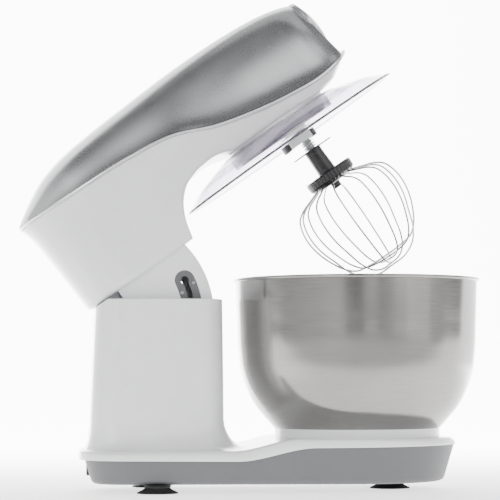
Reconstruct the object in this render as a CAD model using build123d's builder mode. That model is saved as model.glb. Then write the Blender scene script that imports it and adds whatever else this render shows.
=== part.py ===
"""Tilt-head stand mixer, in millimetres.

The head pieces are drawn with the head lowered and are turned up about the hinge when saved.
+X runs from the column to the nose, +Y to the knob side, +Z up. The origin is on the table,
under the middle of the mixer with its head raised.
"""

import math
import os

from build123d import *

os.makedirs("parts", exist_ok=True)

# Driving dimensions
BOWL_X = 101.0  # bowl and planetary axis
PIVOT_X, PIVOT_Z = -131.0, 163.0  # head hinge
TILT = 35.0  # head travel, degrees
WALL = 2.6  # moulded wall
GAP = 0.3  # clearance between pieces that move past each other
FIT = 0.05  # radial running clearance of shafts

BASE_BACK, BASE_HALF, FRONT_R = -162.0, 77.0, 98.0
FRONT_X = 194.0 - FRONT_R  # centre of the round front of the base
TUB_BOTTOM = 8.0
SEAM_BACK, SEAM_FRONT = 29.5, 41.5  # white to grey joint line
DECK_BACK, DECK_FRONT = 39.0, 49.5
COLUMN_HALF, COLUMN_TOP = 57.0, 178.0

HEAD_HALF = 56.0  # neck and underside half width
HEAD_BOTTOM, NECK_BOTTOM = 224.0, 178.6
BAND = 1.6  # half height of the trim band

BOWL_RIM_R, BOWL_RIM_Z, SHEET = 115.2, 196.8, 0.9
FOOT_R, FOOT_BOTTOM = 70.5, 44.0
SEAT_FLOOR = 43.7
BAYONET_ANGLES = (60, 180, 300)

SPINDLE_R, SHAFT_R, OFFSET = 5.0, 4.0, 15.0  # planetary spindle, beater shaft, their spacing
RING_TEETH, PINION_TEETH, PLANET_M = 44, 14, 1.0
DRIVE_M, DRIVE_TEETH, IDLER_SMALL = 1.25, 60, 12
MOTOR_M, IDLER_LARGE, MOTOR_TEETH = 1.0, 64, 10
IDLER_X = BOWL_X - DRIVE_M * (DRIVE_TEETH + IDLER_SMALL) / 2
MOTOR_X = IDLER_X - MOTOR_M * (IDLER_LARGE + MOTOR_TEETH) / 2
WHISK_X = BOWL_X + OFFSET

TONGUE_HALF, TONGUE_R = 47.0, 93.0
SLOT_R, SLOT_TOP = 73.3, -9.0  # lock slot: radius about the hinge, angle of its upper end
LOCK_ANGLE = math.radians(SLOT_TOP)
LOCK_X = PIVOT_X + SLOT_R * math.cos(LOCK_ANGLE)
LOCK_Z = PIVOT_Z + SLOT_R * math.sin(LOCK_ANGLE)
KNOB_X, KNOB_Z = -88.0, 105.0

HINGE = Axis((PIVOT_X, 0, PIVOT_Z), (0, 1, 0))


def save(piece, label, tilted=False):
    """Write one piece, turned up with the head if it belongs to it."""
    part = piece.part.rotate(HINGE, -TILT) if tilted else piece.part
    part.label = label
    export_step(part, f"parts/{label}.step")


def at_side(y):
    """Sketch plane facing -Y, seen from the front left of the mixer, at the given y."""
    return Plane(origin=(0, y, 0), x_dir=(1, 0, 0), z_dir=(0, -1, 0))


def polar(radius, degrees):
    """Point at a radius and angle about the hinge, in the side plane."""
    angle = math.radians(degrees)
    return (PIVOT_X + radius * math.cos(angle), PIVOT_Z + radius * math.sin(angle))


def ring_sector(centre, inner, outer, start, sweep_angle):
    """Face between two radii over an angle, about a centre on the X axis."""
    with BuildSketch() as sector:
        with BuildLine():
            CenterArc((centre, 0), inner, start, sweep_angle)
            CenterArc((centre, 0), outer, start, sweep_angle)
            for degrees in (start, start + sweep_angle):
                turn = math.radians(degrees)
                Line(
                    (centre + inner * math.cos(turn), inner * math.sin(turn)),
                    (centre + outer * math.cos(turn), outer * math.sin(turn)),
                )
        make_face()
    return sector.sketch


# ---------------------------------------------------------------- base

def base_outline(inset):
    """Plan of the base: rounded back corners and a round front, drawn in by inset."""
    corner = 48.0
    with BuildSketch() as outline:
        with BuildLine():
            back, half, front = BASE_BACK + inset, BASE_HALF - inset, FRONT_R - inset
            lean = math.asin((FRONT_R - BASE_HALF) / (FRONT_X - BASE_BACK - corner))
            low = (FRONT_X - front * math.sin(lean), front * math.cos(lean))
            side = Line((BASE_BACK + corner, half), low)
            nose = ThreePointArc(low, (FRONT_X + front, 0), (low[0], -low[1]))
            other = Line((low[0], -low[1]), (BASE_BACK + corner, -half))
            bend = (BASE_BACK + corner) - (corner - inset) * math.sin(math.pi / 4)
            flat = half - (corner - inset)
            turn = flat + (corner - inset) * math.cos(math.pi / 4)
            ThreePointArc((BASE_BACK + corner, -half), (bend, -turn), (back, -flat))
            Line((back, -flat), (back, flat))
            ThreePointArc((back, flat), (bend, turn), (BASE_BACK + corner, half))
        make_face()
    return outline.sketch


def rise(start, end):
    """S-shaped curve that leaves and arrives level."""
    middle = (start[0] + end[0]) / 2
    return Bezier(start, (middle, start[1]), (middle, end[1]), end)


def below_seam(drop):
    """Solid under the line where the white housing meets the grey tub."""
    with BuildPart() as under:
        with BuildSketch(at_side(130)):
            with BuildLine():
                Line((-180, SEAM_BACK + 1 - drop), (-20, SEAM_BACK - drop))
                rise((-20, SEAM_BACK - drop), (52, SEAM_FRONT - drop))
                Line((52, SEAM_FRONT - drop), (210, SEAM_FRONT + 1 - drop))
                Polyline((210, SEAM_FRONT + 1 - drop), (210, -5), (-180, -5), (-180, SEAM_BACK + 1 - drop))
            make_face()
        extrude(amount=260)
    return under.part


def deck_block(lower):
    """Solid under the top surface of the deck."""
    with BuildPart() as block:
        with BuildSketch(at_side(130)):
            with BuildLine():
                Line((-180, DECK_BACK - lower), (-24, DECK_BACK - lower))
                rise((-24, DECK_BACK - lower), (36, DECK_FRONT - lower))
                Line((36, DECK_FRONT - lower), (182, DECK_FRONT - lower))
                Line((182, DECK_FRONT - lower), (210, DECK_FRONT - 5 - lower))
                Polyline((210, DECK_FRONT - 5 - lower), (210, 0), (-180, 0), (-180, DECK_BACK - lower))
            make_face()
        extrude(amount=260)
    return block.part


def column_block(inset, top):
    """Column: a rounded rectangle that leans in towards its top."""
    with BuildPart() as block:
        for height, back, front in ((DECK_BACK - 12, -153.5, -27.5), (top, -146.5, -29.4)):
            with BuildSketch(Plane.XY.offset(height)):
                with Locations(((back + front) / 2, 0)):
                    RectangleRounded(front - back - 2 * inset, 2 * (COLUMN_HALF - inset), 24 - inset)
        loft(ruled=True)
    return block.part


NOTCH = at_side(80)  # the neck's raised underside cuts the column's back corner
neck_line = (PIVOT_X - 20.4, PIVOT_Z + 4.2)
slope = math.tan(math.radians(TILT))

with BuildPart() as base_housing:
    with BuildSketch():
        add(base_outline(0))
    extrude(amount=60)
    add(deck_block(0), mode=Mode.INTERSECT)
    add(column_block(0, COLUMN_TOP))
    with BuildPart(mode=Mode.PRIVATE) as hollow:
        with BuildSketch():
            add(base_outline(WALL))
        extrude(amount=60)
        add(deck_block(WALL), mode=Mode.INTERSECT)
    add(hollow.part, mode=Mode.SUBTRACT)
    add(column_block(WALL, COLUMN_TOP + 4), mode=Mode.SUBTRACT)
    # recess that takes the foot of the bowl
    with BuildSketch(Plane.XY.offset(SEAT_FLOOR - 2.4)):
        with Locations((BOWL_X, 0)):
            Circle(80)
    extrude(amount=DECK_FRONT - SEAT_FLOOR + 2.0)
    with BuildSketch(Plane.XY.offset(SEAT_FLOOR)):
        with Locations((BOWL_X, 0)):
            Circle(78)
    extrude(amount=20, mode=Mode.SUBTRACT)
    # notch in the back of the column top
    with BuildSketch(NOTCH):
        run = 60
        Polygon(
            neck_line,
            (neck_line[0] + run, neck_line[1] + run * slope),
            (neck_line[0] - 20, neck_line[1] + run * slope),
            (neck_line[0] - 20, neck_line[1] - 2),
            align=None,
        )
    extrude(amount=160, mode=Mode.SUBTRACT)
    # holes for the lock button and the knob shaft on the +Y side
    with BuildSketch(at_side(70)):
        with Locations((LOCK_X, LOCK_Z)):
            Circle(11 + GAP)
        with Locations((KNOB_X, KNOB_Z)):
            Circle(6)
    extrude(amount=30, mode=Mode.SUBTRACT)
    add(below_seam(0), mode=Mode.SUBTRACT)
save(base_housing, "base_housing")

with BuildPart() as base_tub:
    with BuildSketch(Plane.XY.offset(TUB_BOTTOM)):
        add(base_outline(12))
    extrude(amount=45, taper=-17)
    fillet(base_tub.edges().group_by(Axis.Z)[0], 6)
    with BuildSketch(Plane.XY.offset(TUB_BOTTOM + WALL)):
        add(base_outline(12 + WALL))
    extrude(amount=50, taper=-17, mode=Mode.SUBTRACT)
    with BuildSketch():
        add(base_outline(0.2))
    extrude(amount=70, mode=Mode.INTERSECT)
    add(below_seam(0), mode=Mode.INTERSECT)
    # cord gland hole in the back
    with BuildSketch(Plane(origin=(BASE_BACK - 10, 0, 21), x_dir=(0, 1, 0), z_dir=(1, 0, 0))):
        Circle(6)
    extrude(amount=30, mode=Mode.SUBTRACT)
    # foot sockets
    with BuildSketch(Plane.XY.offset(TUB_BOTTOM - 1)):
        with Locations((-91, -58), (-91, 58), (132, 0)):
            Circle(4)
    extrude(amount=10, mode=Mode.SUBTRACT)
save(base_tub, "base_tub")

with BuildPart() as suction_feet:
    with BuildSketch(Plane.XZ) as foot_profile:
        with BuildLine():
            Line((0, 1.5), (13, 0))
            Line((13, 0), (19, 0))
            Line((19, 0), (18.4, 1.2))
            Line((18.4, 1.2), (11.5, 5.5))
            Line((11.5, 5.5), (12.8, TUB_BOTTOM))
            Polyline((12.8, TUB_BOTTOM), (4, TUB_BOTTOM), (4, TUB_BOTTOM + 5), (0, TUB_BOTTOM + 5), (0, 1.5))
        make_face()
    revolve(axis=Axis.Z)
with BuildPart() as feet:
    with Locations((-91, -58, 0), (-91, 58, 0), (132, 0, 0)):
        add(suction_feet.part)
save(feet, "suction_feet")

SCREW_SPOTS = [(-112, -54), (-112, 54), (-20, -64), (-20, 64), (76, -76), (76, 76)]
with BuildPart() as base_tub_bosses:
    with BuildSketch(Plane.XY.offset(TUB_BOTTOM + WALL)):
        with Locations(SCREW_SPOTS):
            Circle(5)
            Circle(2, mode=Mode.SUBTRACT)
    extrude(amount=14)
    # posts under the hinge bracket
    with BuildSketch(Plane.XY.offset(TUB_BOTTOM + WALL)):
        with Locations((-130, -31), (-130, 31)):
            Circle(5)
    extrude(amount=34.0 - TUB_BOTTOM - WALL)
save(base_tub_bosses, "screw_bosses")

with BuildPart() as base_screws:
    with BuildSketch(Plane.XY.offset(TUB_BOTTOM + WALL + 2)):
        with Locations(SCREW_SPOTS):
            Circle(1.9)
    extrude(amount=14)
    with BuildSketch(Plane.XY.offset(TUB_BOTTOM + WALL + 14 + 0.1)):
        with Locations(SCREW_SPOTS):
            Circle(3.6)
    extrude(amount=2.4)
save(base_screws, "base_screws")

with BuildPart() as bowl_seat:
    with BuildSketch(Plane.XY.offset(SEAT_FLOOR)):
        with Locations((BOWL_X, 0)):
            Circle(77.8)
            Circle(75.4, mode=Mode.SUBTRACT)
    extrude(amount=DECK_FRONT - SEAT_FLOOR - 0.3)
    with BuildSketch(Plane.XY.offset(46.0)):
        for angle in BAYONET_ANGLES:
            add(ring_sector(BOWL_X, FOOT_R + 0.8, 76, angle - 15, 30))
    extrude(amount=2.0)
save(bowl_seat, "bowl_seat")

BRACKET_LOW = 34.0
with BuildPart() as hinge_bracket:
    for y in (-39, 36):
        with BuildSketch(at_side(y + 3)):
            with BuildLine():
                Polyline((-141.5, BRACKET_LOW), (-118, BRACKET_LOW), (-120.5, PIVOT_Z))
                ThreePointArc((-120.5, PIVOT_Z), (PIVOT_X, PIVOT_Z + 10.5), (-141.5, PIVOT_Z))
                Line((-141.5, PIVOT_Z), (-141.5, BRACKET_LOW))
            make_face()
            with Locations((PIVOT_X, PIVOT_Z)):
                Circle(SPINDLE_R + 0.02, mode=Mode.SUBTRACT)
        extrude(amount=3)
    with Locations((-130, 0, BRACKET_LOW)):
        Box(22, 78, 3, align=(Align.CENTER, Align.CENTER, Align.MIN))
    with Locations((-121, 0, 60)):
        Box(3, 78, 60, align=(Align.CENTER, Align.CENTER, Align.MIN))
save(hinge_bracket, "hinge_bracket")

with BuildPart() as hinge_pin:
    with BuildSketch(at_side(43)):
        with Locations((PIVOT_X, PIVOT_Z)):
            Circle(SPINDLE_R)
    extrude(amount=86)
    chamfer(hinge_pin.edges(), 0.8)
save(hinge_pin, "hinge_pin")

with BuildPart() as hinge_clips:
    for y in (40.6, -39.4):
        with BuildSketch(at_side(y)):
            with Locations((PIVOT_X, PIVOT_Z)):
                Circle(8)
                Circle(SPINDLE_R + 0.01, mode=Mode.SUBTRACT)
                with Locations((7, 0)):
                    Rectangle(8, 4, mode=Mode.SUBTRACT)
        extrude(amount=1.2)
save(hinge_clips, "hinge_clips")

# ---------------------------------------------------------------- head lock

INNER_Y = COLUMN_HALF - WALL  # inside face of the column's side walls
with BuildPart() as lock_guide:
    with BuildSketch(at_side(INNER_Y)):
        with Locations((LOCK_X, LOCK_Z)):
            Circle(14)
            Circle(12, mode=Mode.SUBTRACT)
    extrude(amount=INNER_Y - 50.2)
    with BuildSketch(at_side(50.2)):
        with Locations((LOCK_X, LOCK_Z)):
            Circle(14)
            Circle(2 + FIT, mode=Mode.SUBTRACT)
    extrude(amount=1.6)
    with BuildSketch(at_side(-49)):
        with Locations((LOCK_X, LOCK_Z)):
            Circle(6)
            Circle(2 + FIT, mode=Mode.SUBTRACT)
    extrude(amount=INNER_Y - 49)
    add(column_block(WALL, COLUMN_TOP + 4), mode=Mode.INTERSECT)
save(lock_guide, "lock_guide")

with BuildPart() as lock_pin:
    with BuildSketch(at_side(58)):
        with Locations((LOCK_X, LOCK_Z)):
            Circle(2)
    extrude(amount=108)
    with BuildSketch(at_side(44.6)):
        with Locations((LOCK_X, LOCK_Z)):
            Circle(3.4)
    extrude(amount=2.6)
save(lock_pin, "lock_pin")

with BuildPart() as release_button:
    with BuildSketch(at_side(63)):
        with Locations((LOCK_X, LOCK_Z)):
            Circle(11)
    extrude(amount=8.5)
    fillet(release_button.edges().group_by(Axis.Y)[-1], 1.5)
    with BuildSketch(at_side(60.4)):
        with Locations((LOCK_X, LOCK_Z)):
            Circle(8)
            Circle(3.5, mode=Mode.SUBTRACT)
    extrude(amount=8, mode=Mode.SUBTRACT)
    with BuildSketch(at_side(58.0)):
        with Locations((LOCK_X, LOCK_Z)):
            Circle(2)
    extrude(amount=8, mode=Mode.SUBTRACT)
save(release_button, "release_button")


def coil(centre, axis_dir, radius, wire, pitch, height):
    """Compression spring as a swept helix."""
    with BuildPart() as spring:
        with BuildLine():
            path = Helix(pitch, height, radius, center=centre, direction=axis_dir)
        with BuildSketch(Plane(origin=path @ 0, z_dir=path % 0)):
            Circle(wire / 2)
        sweep(path=path, is_frenet=True)
    return spring


lock_spring = coil((LOCK_X, 50.9, LOCK_Z), (0, 1, 0), 5.6, 1.0, 2.6, 8.6)
save(lock_spring, "lock_spring")

# ---------------------------------------------------------------- speed control

SWITCH_INNER = TONGUE_HALF + 1.8  # inner face of the flat switch, clear of the tongue's plate screws
with BuildPart() as speed_knob:
    with BuildSketch(at_side(76)):
        with Locations((KNOB_X, KNOB_Z)):
            Circle(20)
    extrude(amount=14)
    chamfer(speed_knob.edges().group_by(Axis.Y)[-1], 1.5)
    with BuildSketch(at_side(62)):
        with Locations((KNOB_X, KNOB_Z)):
            Circle(23)
    extrude(amount=3.5)
    with BuildSketch(at_side(79)):
        with Locations((KNOB_X, KNOB_Z)):
            Rectangle(6, 34)
    extrude(amount=4)
    with BuildSketch(at_side(60)):
        with Locations((KNOB_X, KNOB_Z)):
            Circle(3)
    extrude(amount=60 - SWITCH_INNER)
save(speed_knob, "speed_knob")

with BuildPart() as dial_ring:
    with BuildSketch(at_side(COLUMN_HALF + 1.2)):
        with Locations((KNOB_X, KNOB_Z)):
            Circle(30)
            Circle(6, mode=Mode.SUBTRACT)
    extrude(amount=1.2)
save(dial_ring, "dial_ring")

with BuildPart() as rotary_switch:
    with BuildSketch(at_side(INNER_Y - 0.2)):
        with Locations((KNOB_X, KNOB_Z)):
            RectangleRounded(28, 28, 3)
            Circle(3 + FIT, mode=Mode.SUBTRACT)
    extrude(amount=INNER_Y - 0.2 - SWITCH_INNER)
    # terminals on its lower edge
    for x in (-8, 0, 8):
        with Locations((KNOB_X + x, INNER_Y - 2.8, KNOB_Z - 16)):
            Box(3, 1, 5)
save(rotary_switch, "rotary_switch")

BOARD_Z = 30.0
with BuildPart() as control_board:
    with Locations((-75, 0, BOARD_Z)):
        Box(70, 70, 1.6, align=(Align.CENTER, Align.CENTER, Align.MIN))
    with Locations((-95, 20, BOARD_Z + 1.6)):
        Box(24, 18, 14, align=(Align.CENTER, Align.CENTER, Align.MIN))
    with Locations((-60, -18, BOARD_Z + 1.6)):
        Box(16, 26, 10, align=(Align.CENTER, Align.CENTER, Align.MIN))
    with Locations(*[(x, y, BOARD_Z - 19.4) for x in (-106, -44) for y in (-31, 31)]):
        Cylinder(3, 19.4, align=(Align.CENTER, Align.CENTER, Align.MIN))
save(control_board, "control_board")

with BuildPart() as board_capacitor:
    with Locations((-58, 18, BOARD_Z + 1.6)):
        Cylinder(9, 24, align=(Align.CENTER, Align.CENTER, Align.MIN))
    fillet(board_capacitor.edges().group_by(Axis.Z)[-1], 1)
save(board_capacitor, "board_capacitor")

with BuildPart() as cord_gland:
    with BuildSketch(Plane(origin=(-144, 0, 21), x_dir=(0, 1, 0), z_dir=(-1, 0, 0))):
        Circle(5.9)
        Circle(3.6, mode=Mode.SUBTRACT)
    extrude(amount=17)
    with BuildSketch(Plane(origin=(-144, 0, 21), x_dir=(0, 1, 0), z_dir=(1, 0, 0))):
        Circle(8)
        Circle(3.6, mode=Mode.SUBTRACT)
    extrude(amount=3)
save(cord_gland, "cord_gland")

# ---------------------------------------------------------------- bowl

with BuildPart() as mixing_bowl:
    with BuildSketch(Plane.XZ):
        with BuildLine():
            Polyline((0, 45.0), (50, 45.0))
            ThreePointArc((50, 45.0), (88.5, 68.6), (112.0, 130.0))
            Line((112.0, 130.0), (114.2, BOWL_RIM_Z))
            Line((114.2, BOWL_RIM_Z), (114.2 - SHEET, BOWL_RIM_Z))
            Line((114.2 - SHEET, BOWL_RIM_Z), (112.0 - SHEET, 130.0))
            wall_middle = (88.5 - SHEET * 0.8, 68.6 + SHEET * 0.7)
            ThreePointArc((112.0 - SHEET, 130.0), wall_middle, (50, 45.0 + SHEET))
            Polyline((50, 45.0 + SHEET), (0, 45.0 + SHEET), (0, 45.0))
        make_face()
        with Locations((BOWL_RIM_R, BOWL_RIM_Z)):
            Circle(1.6)
    revolve(axis=Axis.Z)
with BuildPart() as bowl:
    with Locations((BOWL_X, 0, 0)):
        add(mixing_bowl.part)
save(bowl, "mixing_bowl")

with BuildPart() as bowl_foot:
    with BuildSketch(Plane.XY.offset(FOOT_BOTTOM)):
        with Locations((BOWL_X, 0)):
            Circle(FOOT_R)
            Circle(FOOT_R - 1.2, mode=Mode.SUBTRACT)
    extrude(amount=8.0)
    with BuildSketch(Plane.XY.offset(FOOT_BOTTOM)):
        for angle in BAYONET_ANGLES:
            add(ring_sector(BOWL_X, FOOT_R - 0.5, FOOT_R + 3, angle - 11, 22))
    extrude(amount=1.6)
save(bowl_foot, "bowl_foot")

# ---------------------------------------------------------------- head shells

TRIM = [
    (-152, 278.2), (-107, 276), (-38, 272.9), (8, 267), (46, 251.8), (79, 243.3), (118, 236.7), (164, 235),
]
NOSE = (194.0, 243.0)
NOSE_LEAN = math.radians(13)  # the nose face leans back
PLAN = [(-146, 33), (-128, 47), (-95, 57), (-40, 61), (30, 61.5), (100, 59), (150, 52), (186, 40)]


def trim_curve(shift):
    """Line where the silver cover meets the white housing, shifted up or down."""
    points = [(x, z + shift) for x, z in TRIM]
    return Spline([(-158, 278.3 + shift)] + points + [(NOSE[0], NOSE[1] + shift)])


def trim_side(shift, above):
    """Solid above or below the trim line."""
    far = 360 if above else -10
    with BuildPart() as block:
        with BuildSketch(at_side(80)):
            with BuildLine():
                curve = trim_curve(shift)
                start, end = curve @ 0, curve @ 1
                Polyline(
                    (end.X, end.Y), (230, end.Y), (230, far), (-190, far), (-190, start.Y), (start.X, start.Y)
                )
            make_face()
        extrude(amount=160)
    return block.part


def head_plan(inset):
    """Plan outline of the head at the trim line."""
    half = [(x + (inset if x < 0 else -inset) * 0.4, w - inset) for x, w in PLAN]
    back, front = half[0], half[-1]
    with BuildSketch() as outline:
        with BuildLine():
            Spline(half)
            Spline([(x, -y) for x, y in half])
            ThreePointArc(back, (-155 + inset, 0), (back[0], -back[1]))
            ThreePointArc(front, (194.5 - inset, 0), (front[0], -front[1]))
        make_face()
    return outline.sketch


def head_side(inset):
    """Side outline of the white housing, taken up past the trim line."""
    with BuildSketch(at_side(80)) as outline:
        with BuildLine():
            Line((-146.0 + inset, NECK_BOTTOM + inset), (-150.5 + inset, 262))
            Polyline((-150.5 + inset, 262), (-153.5 + inset, 276), (-153.5 + inset, 300), (200, 300))
            Polyline((200, 300), (200, 246 + inset), (190.5 - inset, 240.5 + inset), (171.4, 227.3 + inset))
            ThreePointArc(
                (171.4, 227.3 + inset), (164, HEAD_BOTTOM + 0.9 + inset), (156, HEAD_BOTTOM + inset)
            )
            Line((156, HEAD_BOTTOM + inset), (51, HEAD_BOTTOM + inset))
            ThreePointArc((51, HEAD_BOTTOM + inset), (31, 229.6 + inset), (8, 228 + inset))
            neck_front = (-30 - inset, 180 + inset)
            ThreePointArc((8, 228 + inset), (-17.5 - inset * 0.7, 212 + inset * 0.7), neck_front)
            neck_foot = NECK_BOTTOM + inset
            Polyline(neck_front, (-30.5 - inset, neck_foot), (-146.0 + inset, neck_foot))
        make_face()
    return outline.sketch


def head_front(inset):
    """Front outline: full width at the trim line, narrower at the underside."""
    low, high = HEAD_HALF - inset, 62 - inset
    with BuildSketch(Plane.YZ.offset(-170)) as outline:
        Polygon((-low, 170), (low, 170), (low, 226), (high, 262), (high, 310), (-high, 310), (-high, 262),
                (-low, 226), align=None)
    return outline.sketch


def lower_block(inset):
    """White housing as the common part of its side, plan and front outlines."""
    with BuildPart() as plan:
        add(head_plan(inset))
        extrude(amount=340, dir=(0, 0, 1))
    with BuildPart() as front:
        add(head_front(inset))
        extrude(amount=380, dir=(1, 0, 0))
    with BuildPart() as block:
        add(head_side(inset))
        extrude(amount=160, dir=(0, -1, 0))
        add(plan.part, mode=Mode.INTERSECT)
        add(front.part, mode=Mode.INTERSECT)
    return block.part


with BuildPart() as head_lower_housing:
    add(lower_block(0))
    add(lower_block(WALL), mode=Mode.SUBTRACT)
    add(trim_side(-BAND, True), mode=Mode.SUBTRACT)
    # openings for the tongue and hinge arms, and for the planetary drive
    with Locations((-90, 0, NECK_BOTTOM)):
        Box(104, 2 * TONGUE_HALF + 0.02, 16, mode=Mode.SUBTRACT)
    with Locations((BOWL_X, 0, HEAD_BOTTOM)):
        Cylinder(50.6, 12, mode=Mode.SUBTRACT)
save(head_lower_housing, "head_lower_housing", True)

STATIONS = [
    (-151, 284, 22), (-142, 290.5, 36), (-128, 298.5, 47), (-100, 309.8, 56), (-60, 315.8, 60),
    (0, 319.4, 61.3), (60, 322, 61), (110, 320.9, 58), (145, 317.4, 53), (168, 311.9, 46),
]


def cover_block(inset, drop):
    """Silver cover as half ellipses on the trim line, ending in a leaning nose face."""
    curve_x = [p[0] for p in TRIM] + [NOSE[0]]
    curve_z = [p[1] for p in TRIM] + [NOSE[1]]
    with BuildPart() as block:
        for x, top, half in STATIONS:
            step = max(i for i in range(len(curve_x) - 1) if curve_x[i] <= x)
            share = (x - curve_x[step]) / (curve_x[step + 1] - curve_x[step])
            low = curve_z[step] + share * (curve_z[step + 1] - curve_z[step]) - drop
            with BuildSketch(Plane(origin=(x, 0, low), x_dir=(0, 1, 0), z_dir=(1, 0, 0))):
                with BuildLine():
                    EllipticalCenterArc((0, 0), half - inset, top - inset - low, 0, arc_size=180)
                    Line((-(half - inset), 0), (half - inset, 0))
                make_face()
        nose = Plane(
            origin=(NOSE[0] - inset, 0, NOSE[1] - drop),
            x_dir=(0, 1, 0),
            z_dir=(math.cos(NOSE_LEAN), 0, math.sin(NOSE_LEAN)),
        )
        with BuildSketch(nose):
            with BuildLine():
                EllipticalCenterArc((0, 0), 38 - inset, 68 - inset + drop, 0, arc_size=180)
                Line((-(38 - inset), 0), (38 - inset, 0))
            make_face()
        loft()
    return block.part


nose_face = Plane(
    origin=(NOSE[0] - 38 * math.sin(NOSE_LEAN), 0, NOSE[1] + 38 * math.cos(NOSE_LEAN)),
    x_dir=(0, 1, 0),
    z_dir=(math.cos(NOSE_LEAN), 0, math.sin(NOSE_LEAN)),
)

with BuildPart() as head_top_cover:
    add(cover_block(0, 4))
    add(cover_block(WALL, 8), mode=Mode.SUBTRACT)
    add(trim_side(BAND, False), mode=Mode.SUBTRACT)
    # opening behind the nose cap
    with BuildSketch(nose_face.offset(-5)):
        Ellipse(22, 21)
    extrude(amount=8, mode=Mode.SUBTRACT)
save(head_top_cover, "head_top_cover", True)

with BuildPart() as trim_band:
    with BuildSketch():
        add(head_plan(-0.8))
        add(head_plan(WALL), mode=Mode.SUBTRACT)
    extrude(amount=340, dir=(0, 0, 1))
    add(trim_side(-BAND, False), mode=Mode.SUBTRACT)
    add(trim_side(BAND, True), mode=Mode.SUBTRACT)
save(trim_band, "trim_band", True)

with BuildPart() as nose_bezel:
    with BuildSketch(nose_face):
        Ellipse(27.6, 26.2)
        Ellipse(25.2, 23.8, mode=Mode.SUBTRACT)
    extrude(amount=2.8)
save(nose_bezel, "nose_bezel", True)

with BuildPart() as nose_cap:
    with BuildSketch(nose_face):
        Ellipse(25.0, 23.6)
    extrude(amount=2.0)
    with BuildSketch(nose_face.offset(2.0)):
        Ellipse(25.0, 23.6)
    with BuildSketch(nose_face.offset(4.6)):
        Ellipse(19.5, 18.2)
    with BuildSketch(nose_face.offset(5.8)):
        Ellipse(11.0, 10.2)
    loft()
save(nose_cap, "nose_cap", True)

# ---------------------------------------------------------------- hinge arms and tongue

with BuildPart() as hinge_arms:
    for y in (34, -30):
        with BuildSketch(at_side(y)):
            with BuildLine():
                Line((PIVOT_X - 8.5, PIVOT_Z), (PIVOT_X - 4.5, PIVOT_Z + 13))
                Polyline((PIVOT_X - 4.5, PIVOT_Z + 13), (-138, 203), (-138, 214), (-100, 214), (-100, 196))
                Line((-100, 196), (PIVOT_X + 8.5, PIVOT_Z))
                ThreePointArc((PIVOT_X + 8.5, PIVOT_Z), (PIVOT_X, PIVOT_Z - 8.5), (PIVOT_X - 8.5, PIVOT_Z))
            make_face()
            with Locations((PIVOT_X, PIVOT_Z)):
                Circle(SPINDLE_R + FIT, mode=Mode.SUBTRACT)
        extrude(amount=4)
    with Locations((-119, 0, 206)):
        Box(36, 66, 3)
save(hinge_arms, "hinge_arms", True)

TONGUE_BACK = -114.5  # back edge of the tongue with the head down


def tongue_outline(inset):
    """Side outline: a sector about the hinge with an upright back edge."""
    radius = TONGUE_R - inset
    top, low = 192.0, -44.0
    rise_angle = math.degrees(math.asin((top - PIVOT_Z) / radius))
    with BuildSketch(at_side(80)) as outline:
        with BuildLine():
            start = polar(radius, rise_angle)
            end = polar(radius, low)
            ThreePointArc(start, polar(radius, (rise_angle + low) / 2), end)
            back = TONGUE_BACK + inset
            Polyline(end, polar(32, low), (back, PIVOT_Z - 4), (back, top), start)
        make_face()
    return outline.sketch


def slot_outline(width, round_end):
    """Keyhole slot along an arc about the hinge."""
    with BuildSketch(at_side(80)) as outline:
        with BuildLine():
            arc = ThreePointArc(
                polar(SLOT_R, SLOT_TOP), polar(SLOT_R, SLOT_TOP - TILT / 2), polar(SLOT_R, SLOT_TOP - TILT)
            )
        SlotArc(arc, width)
        for angle in (SLOT_TOP, SLOT_TOP - TILT):
            with Locations(polar(SLOT_R, angle)):
                Circle(round_end)
    return outline.sketch


def plate_outline():
    """Lock plate: an arc-shaped strip with round ends."""
    with BuildSketch(at_side(80)) as outline:
        with BuildLine():
            arc = ThreePointArc(
                polar(SLOT_R, SLOT_TOP), polar(SLOT_R, SLOT_TOP - TILT / 2), polar(SLOT_R, SLOT_TOP - TILT)
            )
        SlotArc(arc, 18.6)
    return outline.sketch


PLATE = 1.6
with BuildPart() as tongue_block:
    add(tongue_outline(0))
    extrude(amount=160, dir=(0, -1, 0))
with BuildPart() as tongue_hollow:
    add(tongue_outline(2))
    extrude(amount=160, dir=(0, -1, 0))
with BuildPart() as slot_cut:
    add(slot_outline(6.6, 4.4))
    extrude(amount=160, dir=(0, -1, 0))
with BuildPart() as plate_cut:
    add(plate_outline())
    extrude(amount=160, dir=(0, -1, 0))

with BuildPart() as tongue:
    with Locations((-60, 0, 150)):
        Box(200, 2 * TONGUE_HALF, 160)
    add(tongue_block.part, mode=Mode.INTERSECT)
    with BuildPart(mode=Mode.PRIVATE) as inside:
        with Locations((-60, 0, 150)):
            Box(220, 2 * TONGUE_HALF - 4, 180)
        add(tongue_hollow.part, mode=Mode.INTERSECT)
    add(inside.part, mode=Mode.SUBTRACT)
    # the back and the top are open
    with Locations((TONGUE_BACK, 0, 150)):
        Box(8, 2 * TONGUE_HALF - 8, 100, mode=Mode.SUBTRACT)
    add(slot_cut.part, mode=Mode.SUBTRACT)
    with BuildPart(mode=Mode.PRIVATE) as recess:
        for y in (-TONGUE_HALF, TONGUE_HALF - PLATE):
            with Locations((-60, y + PLATE / 2, 120)):
                Box(200, PLATE, 200)
        add(plate_cut.part, mode=Mode.INTERSECT)
    add(recess.part, mode=Mode.SUBTRACT)
save(tongue, "tongue", True)

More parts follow.
